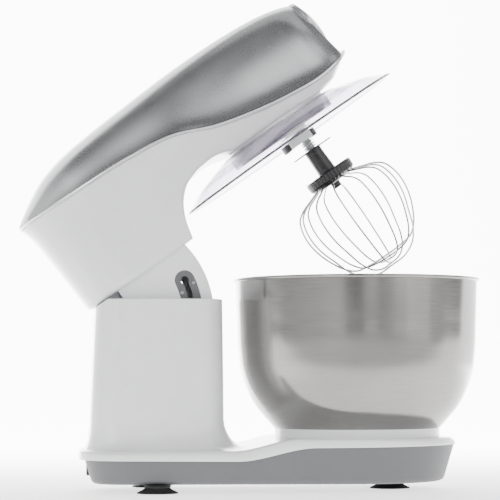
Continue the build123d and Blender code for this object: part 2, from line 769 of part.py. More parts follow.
with BuildPart() as key_cut:
    add(slot_outline(4.6, 3.7))
    extrude(amount=160, dir=(0, -1, 0))
with BuildPart() as lock_plates:
    for y in (-TONGUE_HALF, TONGUE_HALF - PLATE):
        with Locations((-60, y + PLATE / 2, 120)):
            Box(200, PLATE, 200)
    add(plate_cut.part, mode=Mode.INTERSECT)
    add(key_cut.part, mode=Mode.SUBTRACT)
save(lock_plates, "lock_plates", True)

PLATE_SCREWS = [
    polar(SLOT_R + side * 6.6, SLOT_TOP - below) for side, below in ((1, 4), (-1, 8), (1, 34))
]
with BuildPart() as plate_screws:
    for y in (-TONGUE_HALF, TONGUE_HALF + 0.8):
        with BuildSketch(at_side(y)):
            with Locations(PLATE_SCREWS):
                Circle(1.5)
        extrude(amount=0.8)
save(plate_screws, "plate_screws", True)

# ---------------------------------------------------------------- planetary drive

MOUNT_R, COLLAR_IN = 53.2, 53.6
SHELF = 227.0  # inside face of the head's floor
LUG_ANGLES = (30, 150, 270)


with BuildPart() as guard_mount_ring:
    with BuildSketch(Plane.XY.offset(211.0)):
        with Locations((BOWL_X, 0)):
            Circle(MOUNT_R)
            Circle(49.6, mode=Mode.SUBTRACT)
    extrude(amount=HEAD_BOTTOM - 211.0)
    with BuildSketch(Plane.XY.offset(HEAD_BOTTOM)):
        with Locations((BOWL_X, 0)):
            Circle(50.4)
            Circle(47.0, mode=Mode.SUBTRACT)
    extrude(amount=SHELF + 3 - HEAD_BOTTOM)
    # L-shaped slots for the guard's lugs: a level channel and an entry from below
    for angle in LUG_ANGLES:
        with BuildSketch(Plane.XY.offset(213.6)):
            add(ring_sector(BOWL_X, 52.0, MOUNT_R + 1, angle - 6, 34))
        extrude(amount=3.4, mode=Mode.SUBTRACT)
        with BuildSketch(Plane.XY.offset(210.0)):
            add(ring_sector(BOWL_X, 52.0, MOUNT_R + 1, angle + 14, 14))
        extrude(amount=4.0, mode=Mode.SUBTRACT)
save(guard_mount_ring, "guard_mount_ring", True)


def tooth(module, teeth, root, tip, play):
    """Involute tooth outline pointing along +X, thinner by play at the pitch circle."""
    pitch = module * teeth / 2
    base = pitch * math.cos(math.radians(20))
    start = math.pi / 2 / teeth - play / 2 / pitch + math.tan(math.radians(20)) - math.radians(20)
    flank = []
    for step in range(6):
        radius = root + (tip - root) * step / 5
        curl = math.acos(min(1.0, base / max(radius, base)))
        half = start - (math.tan(curl) - curl)
        flank.append((radius * math.cos(half), radius * math.sin(half)))
    return flank + [(x, -y) for x, y in reversed(flank)]


def spur_gear(centre, bottom, width, module, teeth, bore, turn=0.0):
    """External spur gear with a bore."""
    pitch = module * teeth / 2
    root, tip = pitch - 1.15 * module, pitch + 0.8 * module
    with BuildPart() as gear:
        with BuildSketch(Plane.XY.offset(bottom)):
            with Locations((centre, 0)):
                Circle(root)
                with PolarLocations(0, teeth, start_angle=turn):
                    Polygon(*tooth(module, teeth, root - 0.3, tip, 0.3), align=None)
                Circle(bore, mode=Mode.SUBTRACT)
        extrude(amount=width)
    return gear


RING_PITCH = PLANET_M * RING_TEETH / 2
with BuildPart() as ring_gear:
    with BuildSketch(Plane.XY.offset(213.0)):
        with Locations((BOWL_X, 0)):
            Circle(30)
            Circle(RING_PITCH - 0.8, mode=Mode.SUBTRACT)
            with PolarLocations(0, RING_TEETH):
                Polygon(
                    *tooth(PLANET_M, RING_TEETH, RING_PITCH - 1.2, RING_PITCH + 1.2, -0.3),
                    align=None,
                    mode=Mode.SUBTRACT,
                )
    extrude(amount=9)
    with BuildSketch(Plane.XY.offset(222.0)):
        with Locations((BOWL_X, 0)):
            Circle(46.8)
            Circle(24, mode=Mode.SUBTRACT)
    extrude(amount=2)
    with BuildSketch(Plane.XY.offset(224.0)):
        with Locations((BOWL_X, 0)):
            Circle(46.8)
            Circle(43, mode=Mode.SUBTRACT)
    extrude(amount=SHELF + 3 - 224.0)
save(ring_gear, "ring_gear", True)

PLATE_LOW, PLATE_HIGH = 230.0, 258.0
PILLARS = [(BOWL_X + 44, -26), (BOWL_X + 44, 26), (68, -44), (68, 44)]


def gearbox_plate(bottom, thickness, bush_r, back, motor_hole):
    """Plate with round corners, bored for the spindle, the idler axle and the motor."""
    front = BOWL_X + 52
    with BuildPart() as plate:
        with BuildSketch(Plane.XY.offset(bottom)):
            with Locations(((back + front) / 2, 0)):
                RectangleRounded(front - back, 76, 12)
            with Locations((70, 0)):
                RectangleRounded(50, 98, 10)
            with Locations((BOWL_X, 0)):
                Circle(bush_r, mode=Mode.SUBTRACT)
            with Locations((IDLER_X, 0)):
                Circle(3.0, mode=Mode.SUBTRACT)
            if motor_hole:
                with Locations((MOTOR_X, 0)):
                    Circle(motor_hole, mode=Mode.SUBTRACT)
            with Locations(PILLARS):
                Circle(2.0, mode=Mode.SUBTRACT)
        extrude(amount=thickness)
    return plate


gearbox_lower_plate = gearbox_plate(PLATE_LOW, 3, 8, 45, 0)
save(gearbox_lower_plate, "gearbox_lower_plate", True)
gearbox_upper_plate = gearbox_plate(PLATE_HIGH, 3, 8, MOTOR_X - 32, 8)
save(gearbox_upper_plate, "gearbox_upper_plate", True)

with BuildPart() as gearbox_pillars:
    with BuildSketch(Plane.XY.offset(PLATE_LOW + 3)):
        with Locations(PILLARS):
            Circle(4)
            Circle(2.0, mode=Mode.SUBTRACT)
    extrude(amount=PLATE_HIGH - PLATE_LOW - 3)
save(gearbox_pillars, "gearbox_pillars", True)

with BuildPart() as gearbox_screws:
    with BuildSketch(Plane.XY.offset(PLATE_LOW)):
        with Locations(PILLARS):
            Circle(1.95)
    extrude(amount=PLATE_HIGH + 3 - PLATE_LOW)
    with BuildSketch(Plane.XY.offset(PLATE_HIGH + 3)):
        with Locations(PILLARS):
            Circle(3.5)
    extrude(amount=2.4)
save(gearbox_screws, "gearbox_screws", True)

with BuildPart() as spindle_bushes:
    for bottom in (PLATE_LOW - 2, PLATE_HIGH - 1):
        with BuildSketch(Plane.XY.offset(bottom)):
            with Locations((BOWL_X, 0)):
                Circle(7.98)
                Circle(SPINDLE_R + FIT, mode=Mode.SUBTRACT)
        extrude(amount=5)
save(spindle_bushes, "spindle_bushes", True)

with BuildPart() as idler_axle:
    with BuildSketch(Plane.XY.offset(PLATE_LOW)):
        with Locations((IDLER_X, 0)):
            Circle(2.98)
    extrude(amount=PLATE_HIGH + 3 - PLATE_LOW)
save(idler_axle, "idler_axle", True)

DRIVE_LOW, DRIVE_WIDTH, LARGE_LOW, LARGE_WIDTH = 236.0, 8.0, 248.0, 6.0
small_turn = 180.0 / IDLER_SMALL
small_width = LARGE_LOW - DRIVE_LOW + 0.6
idler_small = spur_gear(IDLER_X, DRIVE_LOW - 0.5, small_width, DRIVE_M, IDLER_SMALL, 3.03, small_turn)
idler_large = spur_gear(IDLER_X, LARGE_LOW, LARGE_WIDTH, MOTOR_M, IDLER_LARGE, 3.03)
with BuildPart() as idler_gear:
    add(idler_small.part)
    add(idler_large.part)
save(idler_gear, "idler_gear", True)

spindle_gear = spur_gear(BOWL_X, DRIVE_LOW, DRIVE_WIDTH, DRIVE_M, DRIVE_TEETH, SPINDLE_R)
with BuildPart() as drive_gear:
    add(spindle_gear.part)
    with BuildSketch(Plane.XY.offset(DRIVE_LOW)):
        with Locations((BOWL_X, 0)):
            with PolarLocations(22, 6):
                Circle(7)
    extrude(amount=DRIVE_WIDTH, mode=Mode.SUBTRACT)
save(drive_gear, "spindle_gear", True)

CARRIER_LOW, CARRIER_HIGH = 206.6, 210.4
with BuildPart() as spindle:
    with BuildSketch(Plane.XY.offset(CARRIER_LOW)):
        with Locations((BOWL_X, 0)):
            Circle(SPINDLE_R)
    extrude(amount=PLATE_HIGH + 8 - CARRIER_LOW)
    chamfer(spindle.edges().group_by(Axis.Z)[-1], 0.6)
save(spindle, "spindle", True)

BOSS_X = BOWL_X + 9.5  # middle of the output boss
with BuildPart() as carrier:
    with BuildSketch(Plane.XY.offset(CARRIER_LOW)):
        with Locations((BOWL_X, 0)):
            Circle(48)
            Circle(SPINDLE_R, mode=Mode.SUBTRACT)
        with Locations((WHISK_X, 0)):
            Circle(SHAFT_R + FIT, mode=Mode.SUBTRACT)
    extrude(amount=CARRIER_HIGH - CARRIER_LOW)
    with BuildSketch(Plane.XY.offset(CARRIER_LOW - 1.5)):
        with Locations((BOWL_X, 0)):
            Circle(48)
            Circle(45.5, mode=Mode.SUBTRACT)
    extrude(amount=1.5)
save(carrier, "carrier", True)

with BuildPart() as output_boss:
    with BuildSketch(Plane.XY.offset(194.2)):
        with Locations((BOSS_X, 0)):
            RectangleRounded(24, 40, 6)
        with Locations((WHISK_X, 0)):
            Circle(SHAFT_R + FIT, mode=Mode.SUBTRACT)
    extrude(amount=CARRIER_LOW - 194.2)
save(output_boss, "output_boss", True)

with BuildPart() as boss_ring:
    with BuildSketch(Plane.XY.offset(193.6)):
        with Locations((BOSS_X, 0)):
            Circle(18.6)
            RectangleRounded(24.0, 40, 6, mode=Mode.SUBTRACT)
    extrude(amount=7.6)
save(boss_ring, "boss_ring", True)

SHAFT_LOW = 167.4  # leaves room in the socket for the whisk to be pushed up
with BuildPart() as beater_shaft:
    with BuildSketch(Plane.XY.offset(SHAFT_LOW)):
        with Locations((WHISK_X, 0)):
            Circle(SHAFT_R)
    extrude(amount=222.0 - SHAFT_LOW)
    chamfer(beater_shaft.edges().group_by(Axis.Z)[0], 0.8)
    with Locations((WHISK_X, 0, 175.5)):
        Cylinder(1.5, 20, rotation=(90, 0, 0), mode=Mode.SUBTRACT)
save(beater_shaft, "beater_shaft", True)

pinion_shape = spur_gear(WHISK_X, 214.0, 7.0, PLANET_M, PINION_TEETH, SHAFT_R)
save(pinion_shape, "beater_pinion", True)

with BuildPart() as cross_pin:
    with Locations((WHISK_X, 0, 175.5)):
        Cylinder(1.5, 13, rotation=(90, 0, 0))
save(cross_pin, "cross_pin", True)

whisk_spring = coil((WHISK_X, 0, 185.6), (0, 0, 1), 6.0, 1.1, 3.2, 7.4)
save(whisk_spring, "whisk_spring", True)

# ---------------------------------------------------------------- motor

MOTOR_LOW, MOTOR_HIGH, CAN_R = PLATE_HIGH + 3, 306.0, 27.0
with BuildPart() as motor_can:
    with BuildSketch(Plane.XY.offset(MOTOR_LOW)):
        with Locations((MOTOR_X, 0)):
            Circle(CAN_R)
    extrude(amount=MOTOR_HIGH - MOTOR_LOW)
    with BuildSketch(Plane.XY.offset(MOTOR_LOW + 1.6)):
        with Locations((MOTOR_X, 0)):
            Circle(CAN_R - 1.6)
    extrude(amount=60, mode=Mode.SUBTRACT)
    with BuildSketch(Plane.XY.offset(MOTOR_LOW)):
        with Locations((MOTOR_X, 0)):
            Circle(3 + FIT)
    extrude(amount=10, mode=Mode.SUBTRACT)
save(motor_can, "motor_can", True)

with BuildPart() as motor_magnets:
    for start in (-60, 120):
        with BuildSketch(Plane.XY.offset(MOTOR_LOW + 5)):
            add(ring_sector(MOTOR_X, CAN_R - 6.6, CAN_R - 1.6, start, 120))
        extrude(amount=28)
save(motor_magnets, "motor_magnets", True)

with BuildPart() as motor_end_cap:
    with BuildSketch(Plane.XY.offset(MOTOR_HIGH - 3)):
        with Locations((MOTOR_X, 0)):
            Circle(CAN_R - 1.6)
            Circle(3 + FIT, mode=Mode.SUBTRACT)
    extrude(amount=3)
save(motor_end_cap, "motor_end_cap", True)

with BuildPart() as motor_brushes:
    for side in (-1, 1):
        with Locations((MOTOR_X, side * 14.5, MOTOR_HIGH - 6)):
            Box(5, 10, 6)
save(motor_brushes, "motor_brushes", True)

with BuildPart() as motor_shaft:
    with BuildSketch(Plane.XY.offset(LARGE_LOW - 1)):
        with Locations((MOTOR_X, 0)):
            Circle(3)
    extrude(amount=MOTOR_HIGH + 4 - LARGE_LOW + 1)
save(motor_shaft, "motor_shaft", True)

with BuildPart() as armature:
    with BuildSketch(Plane.XY.offset(MOTOR_LOW + 6)):
        with Locations((MOTOR_X, 0)):
            Circle(19.8)
            Circle(3, mode=Mode.SUBTRACT)
            with PolarLocations(17.6, 8):
                Rectangle(5, 3.4, mode=Mode.SUBTRACT)
    extrude(amount=26)
save(armature, "armature", True)

with BuildPart() as commutator:
    with BuildSketch(Plane.XY.offset(MOTOR_HIGH - 11)):
        with Locations((MOTOR_X, 0)):
            Circle(9.2)
            Circle(3, mode=Mode.SUBTRACT)
            with PolarLocations(9.2, 8):
                Rectangle(1.6, 0.6, mode=Mode.SUBTRACT)
    extrude(amount=7.6)
save(commutator, "commutator", True)

motor_turn = 180.0 / MOTOR_TEETH
motor_pinion = spur_gear(MOTOR_X, LARGE_LOW - 0.5, LARGE_WIDTH + 1, MOTOR_M, MOTOR_TEETH, 3.0, motor_turn)
save(motor_pinion, "motor_pinion", True)

# ---------------------------------------------------------------- splash guard

GUARD_RIM = 199.2
with BuildPart() as guard_shape:
    with BuildSketch(Plane.XZ):
        with BuildLine():
            Polyline((COLLAR_IN, 204.0), (55.5, 204.0), (55.5, 219.6))
            Spline((55.5, 219.6), (81, 214.0), (97, 208.6), (108, 202.8), (114.4, GUARD_RIM))
            Polyline((114.4, GUARD_RIM), (116.6, GUARD_RIM), (116.6, GUARD_RIM + 1.8), (115.0, GUARD_RIM + 2.4))
            Spline((115.0, GUARD_RIM + 2.4), (107.6, 205.4), (96.4, 211.0), (81, 216.2), (COLLAR_IN, 222.0))
            Line((COLLAR_IN, 222.0), (COLLAR_IN, 204.0))
        make_face()
    revolve(axis=Axis.Z)
with BuildPart() as splash_guard:
    with Locations((BOWL_X, 0, 0)):
        add(guard_shape.part)
    for angle in LUG_ANGLES:
        with BuildSketch(Plane.XY.offset(214.0)):
            add(ring_sector(BOWL_X, 52.4, COLLAR_IN + 0.6, angle - 4, 8))
        extrude(amount=2.6)
save(splash_guard, "splash_guard", True)

# ---------------------------------------------------------------- whisk

DISH_TOP, DISH_LOW = 158.5, 145.7
TIP_Z = 49.0
with BuildPart() as sleeve_shape:
    with BuildSketch(Plane.XZ):
        with BuildLine():
            Polyline((SHAFT_R + 0.1, 161.0), (SHAFT_R + 0.1, 184.6), (8.4, 184.6), (8.4, 184.1))
            Polyline((8.4, 184.1), (21.3, 184.1), (21.3, 182.9), (8.4, 182.9), (8.4, 178))
            Polyline((8.4, 178), (9.0, 158.5), (0, 158.5), (0, 161.0), (SHAFT_R + 0.1, 161.0))
        make_face()
    revolve(axis=Axis.Z)
with BuildPart() as whisk_sleeve:
    with Locations((WHISK_X, 0, 0)):
        add(sleeve_shape.part)
    # slot that holds the cross pin
    with Locations((WHISK_X, 0, 173.0)):
        Box(3.6, 14, 12, mode=Mode.SUBTRACT)
save(whisk_sleeve, "whisk_sleeve", True)

with BuildPart() as dish_shape:
    with BuildSketch(Plane.XZ):
        with BuildLine():
            Polyline((0, DISH_TOP), (23.6, DISH_TOP), (24.8, 157.3), (24.4, 149.7), (17.5, DISH_LOW))
            Polyline((17.5, DISH_LOW), (4.6, DISH_LOW), (4.4, 140.2), (0, 140.2), (0, DISH_TOP))
        make_face()
    revolve(axis=Axis.Z)
with BuildPart() as whisk_dish:
    with Locations((WHISK_X, 0, 0)):
        add(dish_shape.part)
save(whisk_dish, "whisk_dish", True)

LOOPS, WIRE_R = 6, 0.9
with BuildPart() as whisk_wires:
    for loop in range(LOOPS):
        turn = math.pi * (loop + 0.5) / LOOPS
        low = TIP_Z + WIRE_R + loop * 2.2
        plane = Plane(
            origin=(WHISK_X, 0, 0), x_dir=(math.cos(turn), math.sin(turn), 0),
            z_dir=(math.sin(turn), -math.cos(turn), 0),
        )
        half = [(21.4, 146.9), (51.5, 136), (55.5, 106), (38, 62 + loop), (17, low)]
        with BuildLine(plane):
            bends = [16, 30, 30, 12]
            mirrored = [(-x, z) for x, z in reversed(half)]
            path = FilletPolyline(*half, *mirrored, radius=bends + bends[::-1])
        with BuildSketch(Plane(origin=path @ 0, z_dir=path % 0)):
            Circle(WIRE_R)
        sweep(path=path)
save(whisk_wires, "whisk_wires", True)
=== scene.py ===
"""Tilt-head stand mixer: shells, bowl, whisk and finishes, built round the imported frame.

All the shape functions work in millimetres with the head lowered. +X runs from the column to
the nose, +Y to the knob side, +Z up. Head pieces are turned up about the hinge at the end.
"""

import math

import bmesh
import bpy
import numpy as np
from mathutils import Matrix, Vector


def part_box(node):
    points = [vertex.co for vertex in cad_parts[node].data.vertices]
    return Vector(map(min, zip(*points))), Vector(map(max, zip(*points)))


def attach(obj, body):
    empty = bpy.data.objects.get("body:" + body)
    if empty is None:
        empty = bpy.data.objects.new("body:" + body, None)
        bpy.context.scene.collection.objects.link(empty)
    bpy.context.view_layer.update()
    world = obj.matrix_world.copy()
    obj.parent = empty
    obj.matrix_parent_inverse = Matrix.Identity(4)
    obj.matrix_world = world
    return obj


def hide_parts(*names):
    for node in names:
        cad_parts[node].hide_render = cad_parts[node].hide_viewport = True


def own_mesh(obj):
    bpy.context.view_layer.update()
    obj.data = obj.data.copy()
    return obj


bl_info = {
    "name": "Tilt-Head Stand Mixer",
    "version": (1, 0, 0),
    "blender": (4, 5, 0),
    "location": "3D View > Sidebar > Mixer",
    "description": "Builds the visible pieces and finishes of a tilt-head stand mixer",
    "category": "Add Mesh",
}

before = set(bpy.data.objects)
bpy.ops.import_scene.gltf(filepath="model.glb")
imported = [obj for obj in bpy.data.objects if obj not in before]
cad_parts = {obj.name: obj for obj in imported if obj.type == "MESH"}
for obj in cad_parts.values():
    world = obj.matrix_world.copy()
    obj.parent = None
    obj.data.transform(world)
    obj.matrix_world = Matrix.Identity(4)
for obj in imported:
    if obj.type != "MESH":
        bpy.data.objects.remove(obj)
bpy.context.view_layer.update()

MM = 0.001
PIVOT_X, PIVOT_Z, TILT = -131.0, 163.0, math.radians(35.0)  # hinge, and how far the head is up
BOWL_X = 101.0  # axis of the bowl and of the planetary drive
WHISK_X = BOWL_X + 15.0  # axis of the whisk with the drive at rest
COLUMN_CENTRE = np.array((-88.0, 0.0))
COLUMN_FOOT, COLUMN_TOP = 27.0, 178.0  # heights between which the column leans in
COLUMN_RISE = COLUMN_TOP - COLUMN_FOOT
LOOP_POINTS = 1601  # points on an outline before it is divided into columns
TRIM_LINE = [(-158, 278.3), (-152, 278.2), (-107, 276), (-38, 272.9), (8, 267), (46, 251.8),
             (79, 243.3), (118, 236.7), (164, 235.3), (182, 239), (194.5, 243.6)]
HEAD_HALF_PLAN = [(-155, 0), (-152.8, 17), (-145, 33.5), (-128, 47), (-95, 57), (-40, 61), (30, 61.5),
                  (100, 59), (150, 52), (178, 43), (190, 26.5), (194.5, 0)]
SPINE_LINE = [(-156, 280), (-150, 284.6), (-136, 293.5), (-113.8, 305.0), (-96.4, 310.4), (-80.7, 313.4),
              (-51, 316.5), (-8, 319.2), (50, 321.8), (105, 321.2), (131.8, 319.3), (157.4, 315.4),
              (177.4, 308.9), (190, 301)]
NOSE_CENTRE = (181.2, 282.0)  # middle of the oval face, as x and z
NOSE_SLOPE = 0.125  # how far the oval face leans back per unit of height


# ------------------------------------------------------------------ shape tools

def smooth_line(points, count, closed=False):
    """Points on a Hermite curve: the slope at a knot is the change over the chords beside it."""
    knots = np.asarray(points, float)
    first, last = 0, len(knots) - 1
    if closed:
        knots = np.concatenate((knots[-3:], knots, knots[:4]))
        first, last = 3, len(knots) - 4
    chord = np.concatenate(([0.0], np.cumsum(np.linalg.norm(np.diff(knots, axis=0), axis=1))))
    slope = np.gradient(knots, chord, axis=0)
    along = np.linspace(chord[first], chord[last], count)
    i = np.clip(np.searchsorted(chord, along, side="right") - 1, 0, len(knots) - 2)
    span = (chord[i + 1] - chord[i])[:, None]
    s = (along - chord[i])[:, None] / span
    start = (1 + 2 * s) * (1 - s) ** 2 * knots[i] + s * (1 - s) ** 2 * span * slope[i]
    return start + s * s * (3 - 2 * s) * knots[i + 1] + s * s * (s - 1) * span * slope[i + 1]


def arc(centre, radius, start, end, count):
    """Points at a radius about a centre, from one angle to another in degrees."""
    turn = np.radians(np.linspace(start, end, count))
    return np.column_stack((centre[0] + radius * np.cos(turn), centre[1] + radius * np.sin(turn)))


def spread(loop, count, weight=None):
    """Points evenly spaced along a closed loop, or closer together where the weight is high."""
    ring = np.vstack((loop, loop[:1]))
    step = np.linalg.norm(np.diff(ring, axis=0), axis=1)
    if weight is not None:
        step = step * weight(ring[:-1, 0])
    run = np.concatenate(([0.0], np.cumsum(step)))
    at = np.linspace(0, run[-1], count)
    return np.column_stack([np.interp(at, run, ring[:, axis]) for axis in (0, 1)])


def ease(value):
    """0 below 0, 1 above 1, and 3t^2 - 2t^3 between."""
    t = np.clip(value, 0, 1)
    return t * t * (3 - 2 * t)


def space(*columns):
    """Points of x, y and z, each a row of numbers or one number for all."""
    return np.stack(np.broadcast_arrays(*[np.asarray(c, float) for c in columns]), axis=-1)


def lift(points):
    """Turns points of the lowered head up about the hinge."""
    x, z = points[..., 0] - PIVOT_X, points[..., 2] - PIVOT_Z
    cos, sin = math.cos(TILT), math.sin(TILT)
    return space(PIVOT_X + cos * x - sin * z, points[..., 1], PIVOT_Z + sin * x + cos * z)


def revolved(profile, axis_x, steps=180):
    """Grid of a profile of radius and height turned about an upright axis at axis_x."""
    turn = np.linspace(0, 2 * math.pi, steps + 1)
    radius, height = np.asarray(profile, float).T
    return space(axis_x + radius[:, None] * np.cos(turn), radius[:, None] * np.sin(turn), height[:, None])


def tube(path, radius, side, sides=12):
    """Grid round a path: a circle square to the path, where side is square to the path all along.
    Both ends close on a point."""
    tangent = np.gradient(path, axis=0)
    tangent /= np.linalg.norm(tangent, axis=1)[:, None]
    across = np.cross(tangent, side)
    across /= np.linalg.norm(across, axis=1)[:, None]
    other = np.cross(tangent, across)
    turn = np.linspace(0, 2 * math.pi, sides + 1)[None, :, None]
    rings = path[:, None] + radius * (np.cos(turn) * across[:, None] + np.sin(turn) * other[:, None])
    ends = [np.repeat(point[None, None], sides + 1, axis=1) for point in (path[0], path[-1])]
    return np.concatenate((ends[0], rings, ends[1]))


def build_mesh(name, grids):
    """One mesh of the grids, with neighbours joined by quads, doubles merged and faces outward."""
    points, faces, start = [], [], 0
    for grid in grids:
        rows, columns = grid.shape[:2]
        index = start + np.arange(rows * columns).reshape(rows, columns)
        quads = np.stack((index[:-1, :-1], index[:-1, 1:], index[1:, 1:], index[1:, :-1]), axis=-1)
        points.append(grid.reshape(-1, 3) * MM)
        faces.append(quads.reshape(-1, 4))
        start += rows * columns
    mesh = bpy.data.meshes.new(name)
    mesh.from_pydata(np.concatenate(points).tolist(), [], np.concatenate(faces).tolist())
    shape = bmesh.new()
    shape.from_mesh(mesh)
    bmesh.ops.remove_doubles(shape, verts=shape.verts, dist=2e-6)
    bmesh.ops.dissolve_degenerate(shape, edges=shape.edges, dist=1e-7)
    bmesh.ops.recalc_face_normals(shape, faces=shape.faces)
    shape.to_mesh(mesh)
    shape.free()
    return mesh


def add_piece(name, grids, body, finish, replaced=(), cutters=(), crease=38):
    """An object made of grids, less any cutter grids, that rides on a body and stands for CAD nodes."""
    piece = bpy.data.objects.new(name, build_mesh(name, grids))
    bpy.context.scene.collection.objects.link(piece)
    for grid in cutters:
        tool = bpy.data.objects.new(name + "_tool", build_mesh(name + "_tool", [grid]))
        bpy.context.scene.collection.objects.link(tool)
        cut = piece.modifiers.new("cut", "BOOLEAN")
        cut.operation, cut.solver, cut.object = "DIFFERENCE", "EXACT", tool
        bpy.context.view_layer.update()
        result = piece.evaluated_get(bpy.context.evaluated_depsgraph_get())
        mesh = bpy.data.meshes.new_from_object(result)
        piece.modifiers.clear()
        piece.data = mesh
        bpy.data.objects.remove(tool)
    piece.data.materials.clear()
    piece.data.materials.append(get_finish(finish))
    piece.data.shade_smooth()
    piece.data.set_sharp_from_angle(angle=math.radians(crease))
    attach(piece, body)
    if replaced:
        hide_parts(*replaced)
    return piece


# ------------------------------------------------------------------ outlines

def base_loop(inset):
    """Plan of the base: a round front, straight sides that widen forward and two back corners."""
    back, half, front_x, front_r, corner = -162.0, 77.0, 96.0, 98.0, 48.0
    lean = math.degrees(math.asin((front_r - half) / (front_x - corner - back)))
    return spread(np.vstack((
        arc((front_x, 0), front_r - inset, -90 - lean, 90 + lean, 240),
        arc((back + corner, half - corner), corner - inset, 90, 180, 60),
        arc((back + corner, corner - half), corner - inset, 180, 270, 60),
    )), LOOP_POINTS)[:-1]


def column_loop(height, inset):
    """Plan of the column, a rounded rectangle that leans in towards its top."""
    share = (height - COLUMN_FOOT) / COLUMN_RISE
    back, front = -153.5 + 7.0 * share + inset, -27.5 - 1.9 * share - inset
    half, corner = 57.0 - inset, 24.0 - inset
    corners = [
        arc((x, y), corner, start, start + 90, 24)
        for x, y, start in (
            (front - corner, half - corner, 0), (back + corner, half - corner, 90),
            (back + corner, corner - half, 180), (front - corner, corner - half, 270),
        )
    ]
    return spread(np.vstack(corners), LOOP_POINTS)[:-1]


def reach(loop, turns):
    """Distance from the column centre to a loop, at each angle."""
    away = loop - COLUMN_CENTRE
    angle = np.arctan2(away[:, 1], away[:, 0])
    order = np.argsort(angle)
    return np.interp(turns, angle[order], np.hypot(away[:, 0], away[:, 1])[order], period=2 * math.pi)


def rays(loop):
    """Angle of each point of a loop about the column centre, and the direction it lies in."""
    away = loop - COLUMN_CENTRE
    turns = np.arctan2(away[:, 1], away[:, 0])
    return turns, np.column_stack((np.cos(turns), np.sin(turns)))


def deck_height(x):
    """Top of the deck: level, an easy rise past the column, level, and a slight fall at the front."""
    return 39.0 + 10.5 * ease((x + 24) / 60) - 5.0 * np.clip((x - 182) / 28, 0, 1)


def seam_height(x):
    """Line where the white housing meets the grey tub, with the same kind of rise."""
    slope = np.clip((-20 - x) / 160, 0, 1) + np.clip((x - 52) / 158, 0, 1)
    return 29.5 + 12.0 * ease((x + 20) / 72) + slope


def head_loop(count, inset=0.0, weight=None):
    """Plan of the head at the trim line, a smooth closed curve, drawn in by the inset."""
    half = HEAD_HALF_PLAN
    loop = smooth_line(half + [(x, -y) for x, y in half[-2:0:-1]], 1600, closed=True)[:-1]
    loop = spread(loop, count, weight)
    run = np.gradient(np.vstack((loop[-2], loop, loop[1])), axis=0)[1:-1]
    inward = np.column_stack((run[:, 1], -run[:, 0])) / np.linalg.norm(run, axis=1)[:, None]
    return loop + inward * inset


def trim_height(x):
    """Height of the trim line."""
    line = smooth_line(TRIM_LINE, 400)
    return np.interp(x, line[:, 0], line[:, 1])


def head_half(x):
    """Half width of the head at the trim line."""
    loop = head_loop(1200)
    side = loop[loop[:, 1] >= -1e-9]
    order = np.argsort(side[:, 0])
    return np.interp(x, side[order, 0], side[order, 1])


def underside_height(x):
    """Underside of the head: the neck's foot, a curve up its front, then level to the nose."""
    front = np.vstack((
        [(-160, 178.6), (-30.5, 178.6)],
        smooth_line([(-30, 180), (-25.5, 196.8), (-17.5, 211.8), (-6.3, 222.3), (8, 227.9)], 40),
        smooth_line([(10, 228.4), (31, 229.4), (51, 224)], 20)[1:],
        [(200, 224)],
    ))
    return np.interp(x, front[:, 0], front[:, 1])


# ------------------------------------------------------------------ finishes

def linear(code):
    """Linear red, green, blue and alpha of an sRGB hex colour."""
    srgb = [int(code[i:i + 2], 16) / 255 for i in (0, 2, 4)]
    return tuple(v / 12.92 if v <= 0.04045 else ((v + 0.055) / 1.055) ** 2.4 for v in srgb) + (1.0,)


def put(tree, kind, inputs, **settings):
    """Adds a node, sets its settings, and sets or links each input given by name or number."""
    made = tree.nodes.new(kind)
    for name, value in settings.items():
        setattr(made, name, value)
    for name, value in inputs.items():
        if isinstance(value, bpy.types.NodeSocket):
            tree.links.new(value, made.inputs[name])
        else:
            made.inputs[name].default_value = value
    return made


FULL_GREY = 4.0  # brightness that the white of a colour ramp stands for


def ramp(tree, value, low, high, stops, scale):
    """Brightness at a value, read off stops whose places run from -scale to scale."""
    share = put(tree, "ShaderNodeMapRange", {"Value": value, "From Min": low, "From Max": high})
    curve = put(tree, "ShaderNodeValToRGB", {"Fac": share.outputs[0]})
    curve.color_ramp.interpolation = "EASE"
    points = curve.color_ramp.elements
    while len(points) < len(stops):
        points.new(0.5)
    for point, (place, _) in zip(points, stops):
        point.position = (place / scale + 1) / 2
    for point, (_, bright) in zip(points, stops):
        point.color = (bright / FULL_GREY, bright / FULL_GREY, bright / FULL_GREY, 1)
    grey = put(tree, "ShaderNodeMath", {0: curve.outputs[0], 1: FULL_GREY}, operation="MULTIPLY")
    return grey.outputs[0]


# Brightness of the studio round the mixer, by degrees from straight ahead: softboxes left and right
# with a dark gap between them, dimmer at the sides and behind
SOFTBOX_TURN = [(-180, 0.35), (-140, 0.35), (-90, 0.7), (-45, 1.3), (-22, 1.25), (-16, 0.3), (-4, 0.25),
                (4, 1.5), (9, 1.5), (15, 0.8), (24, 1.0), (32, 2.0), (60, 1.3), (110, 0.6), (180, 0.35)]
# the same by height, as the sine of the angle above the floor: bright low down, dark overhead
SOFTBOX_RISE = [(-1, 0.3), (-0.05, 0.8), (0.08, 1.05), (0.35, 1.6), (0.6, 1.45), (0.76, 0.3), (1, 0.05)]

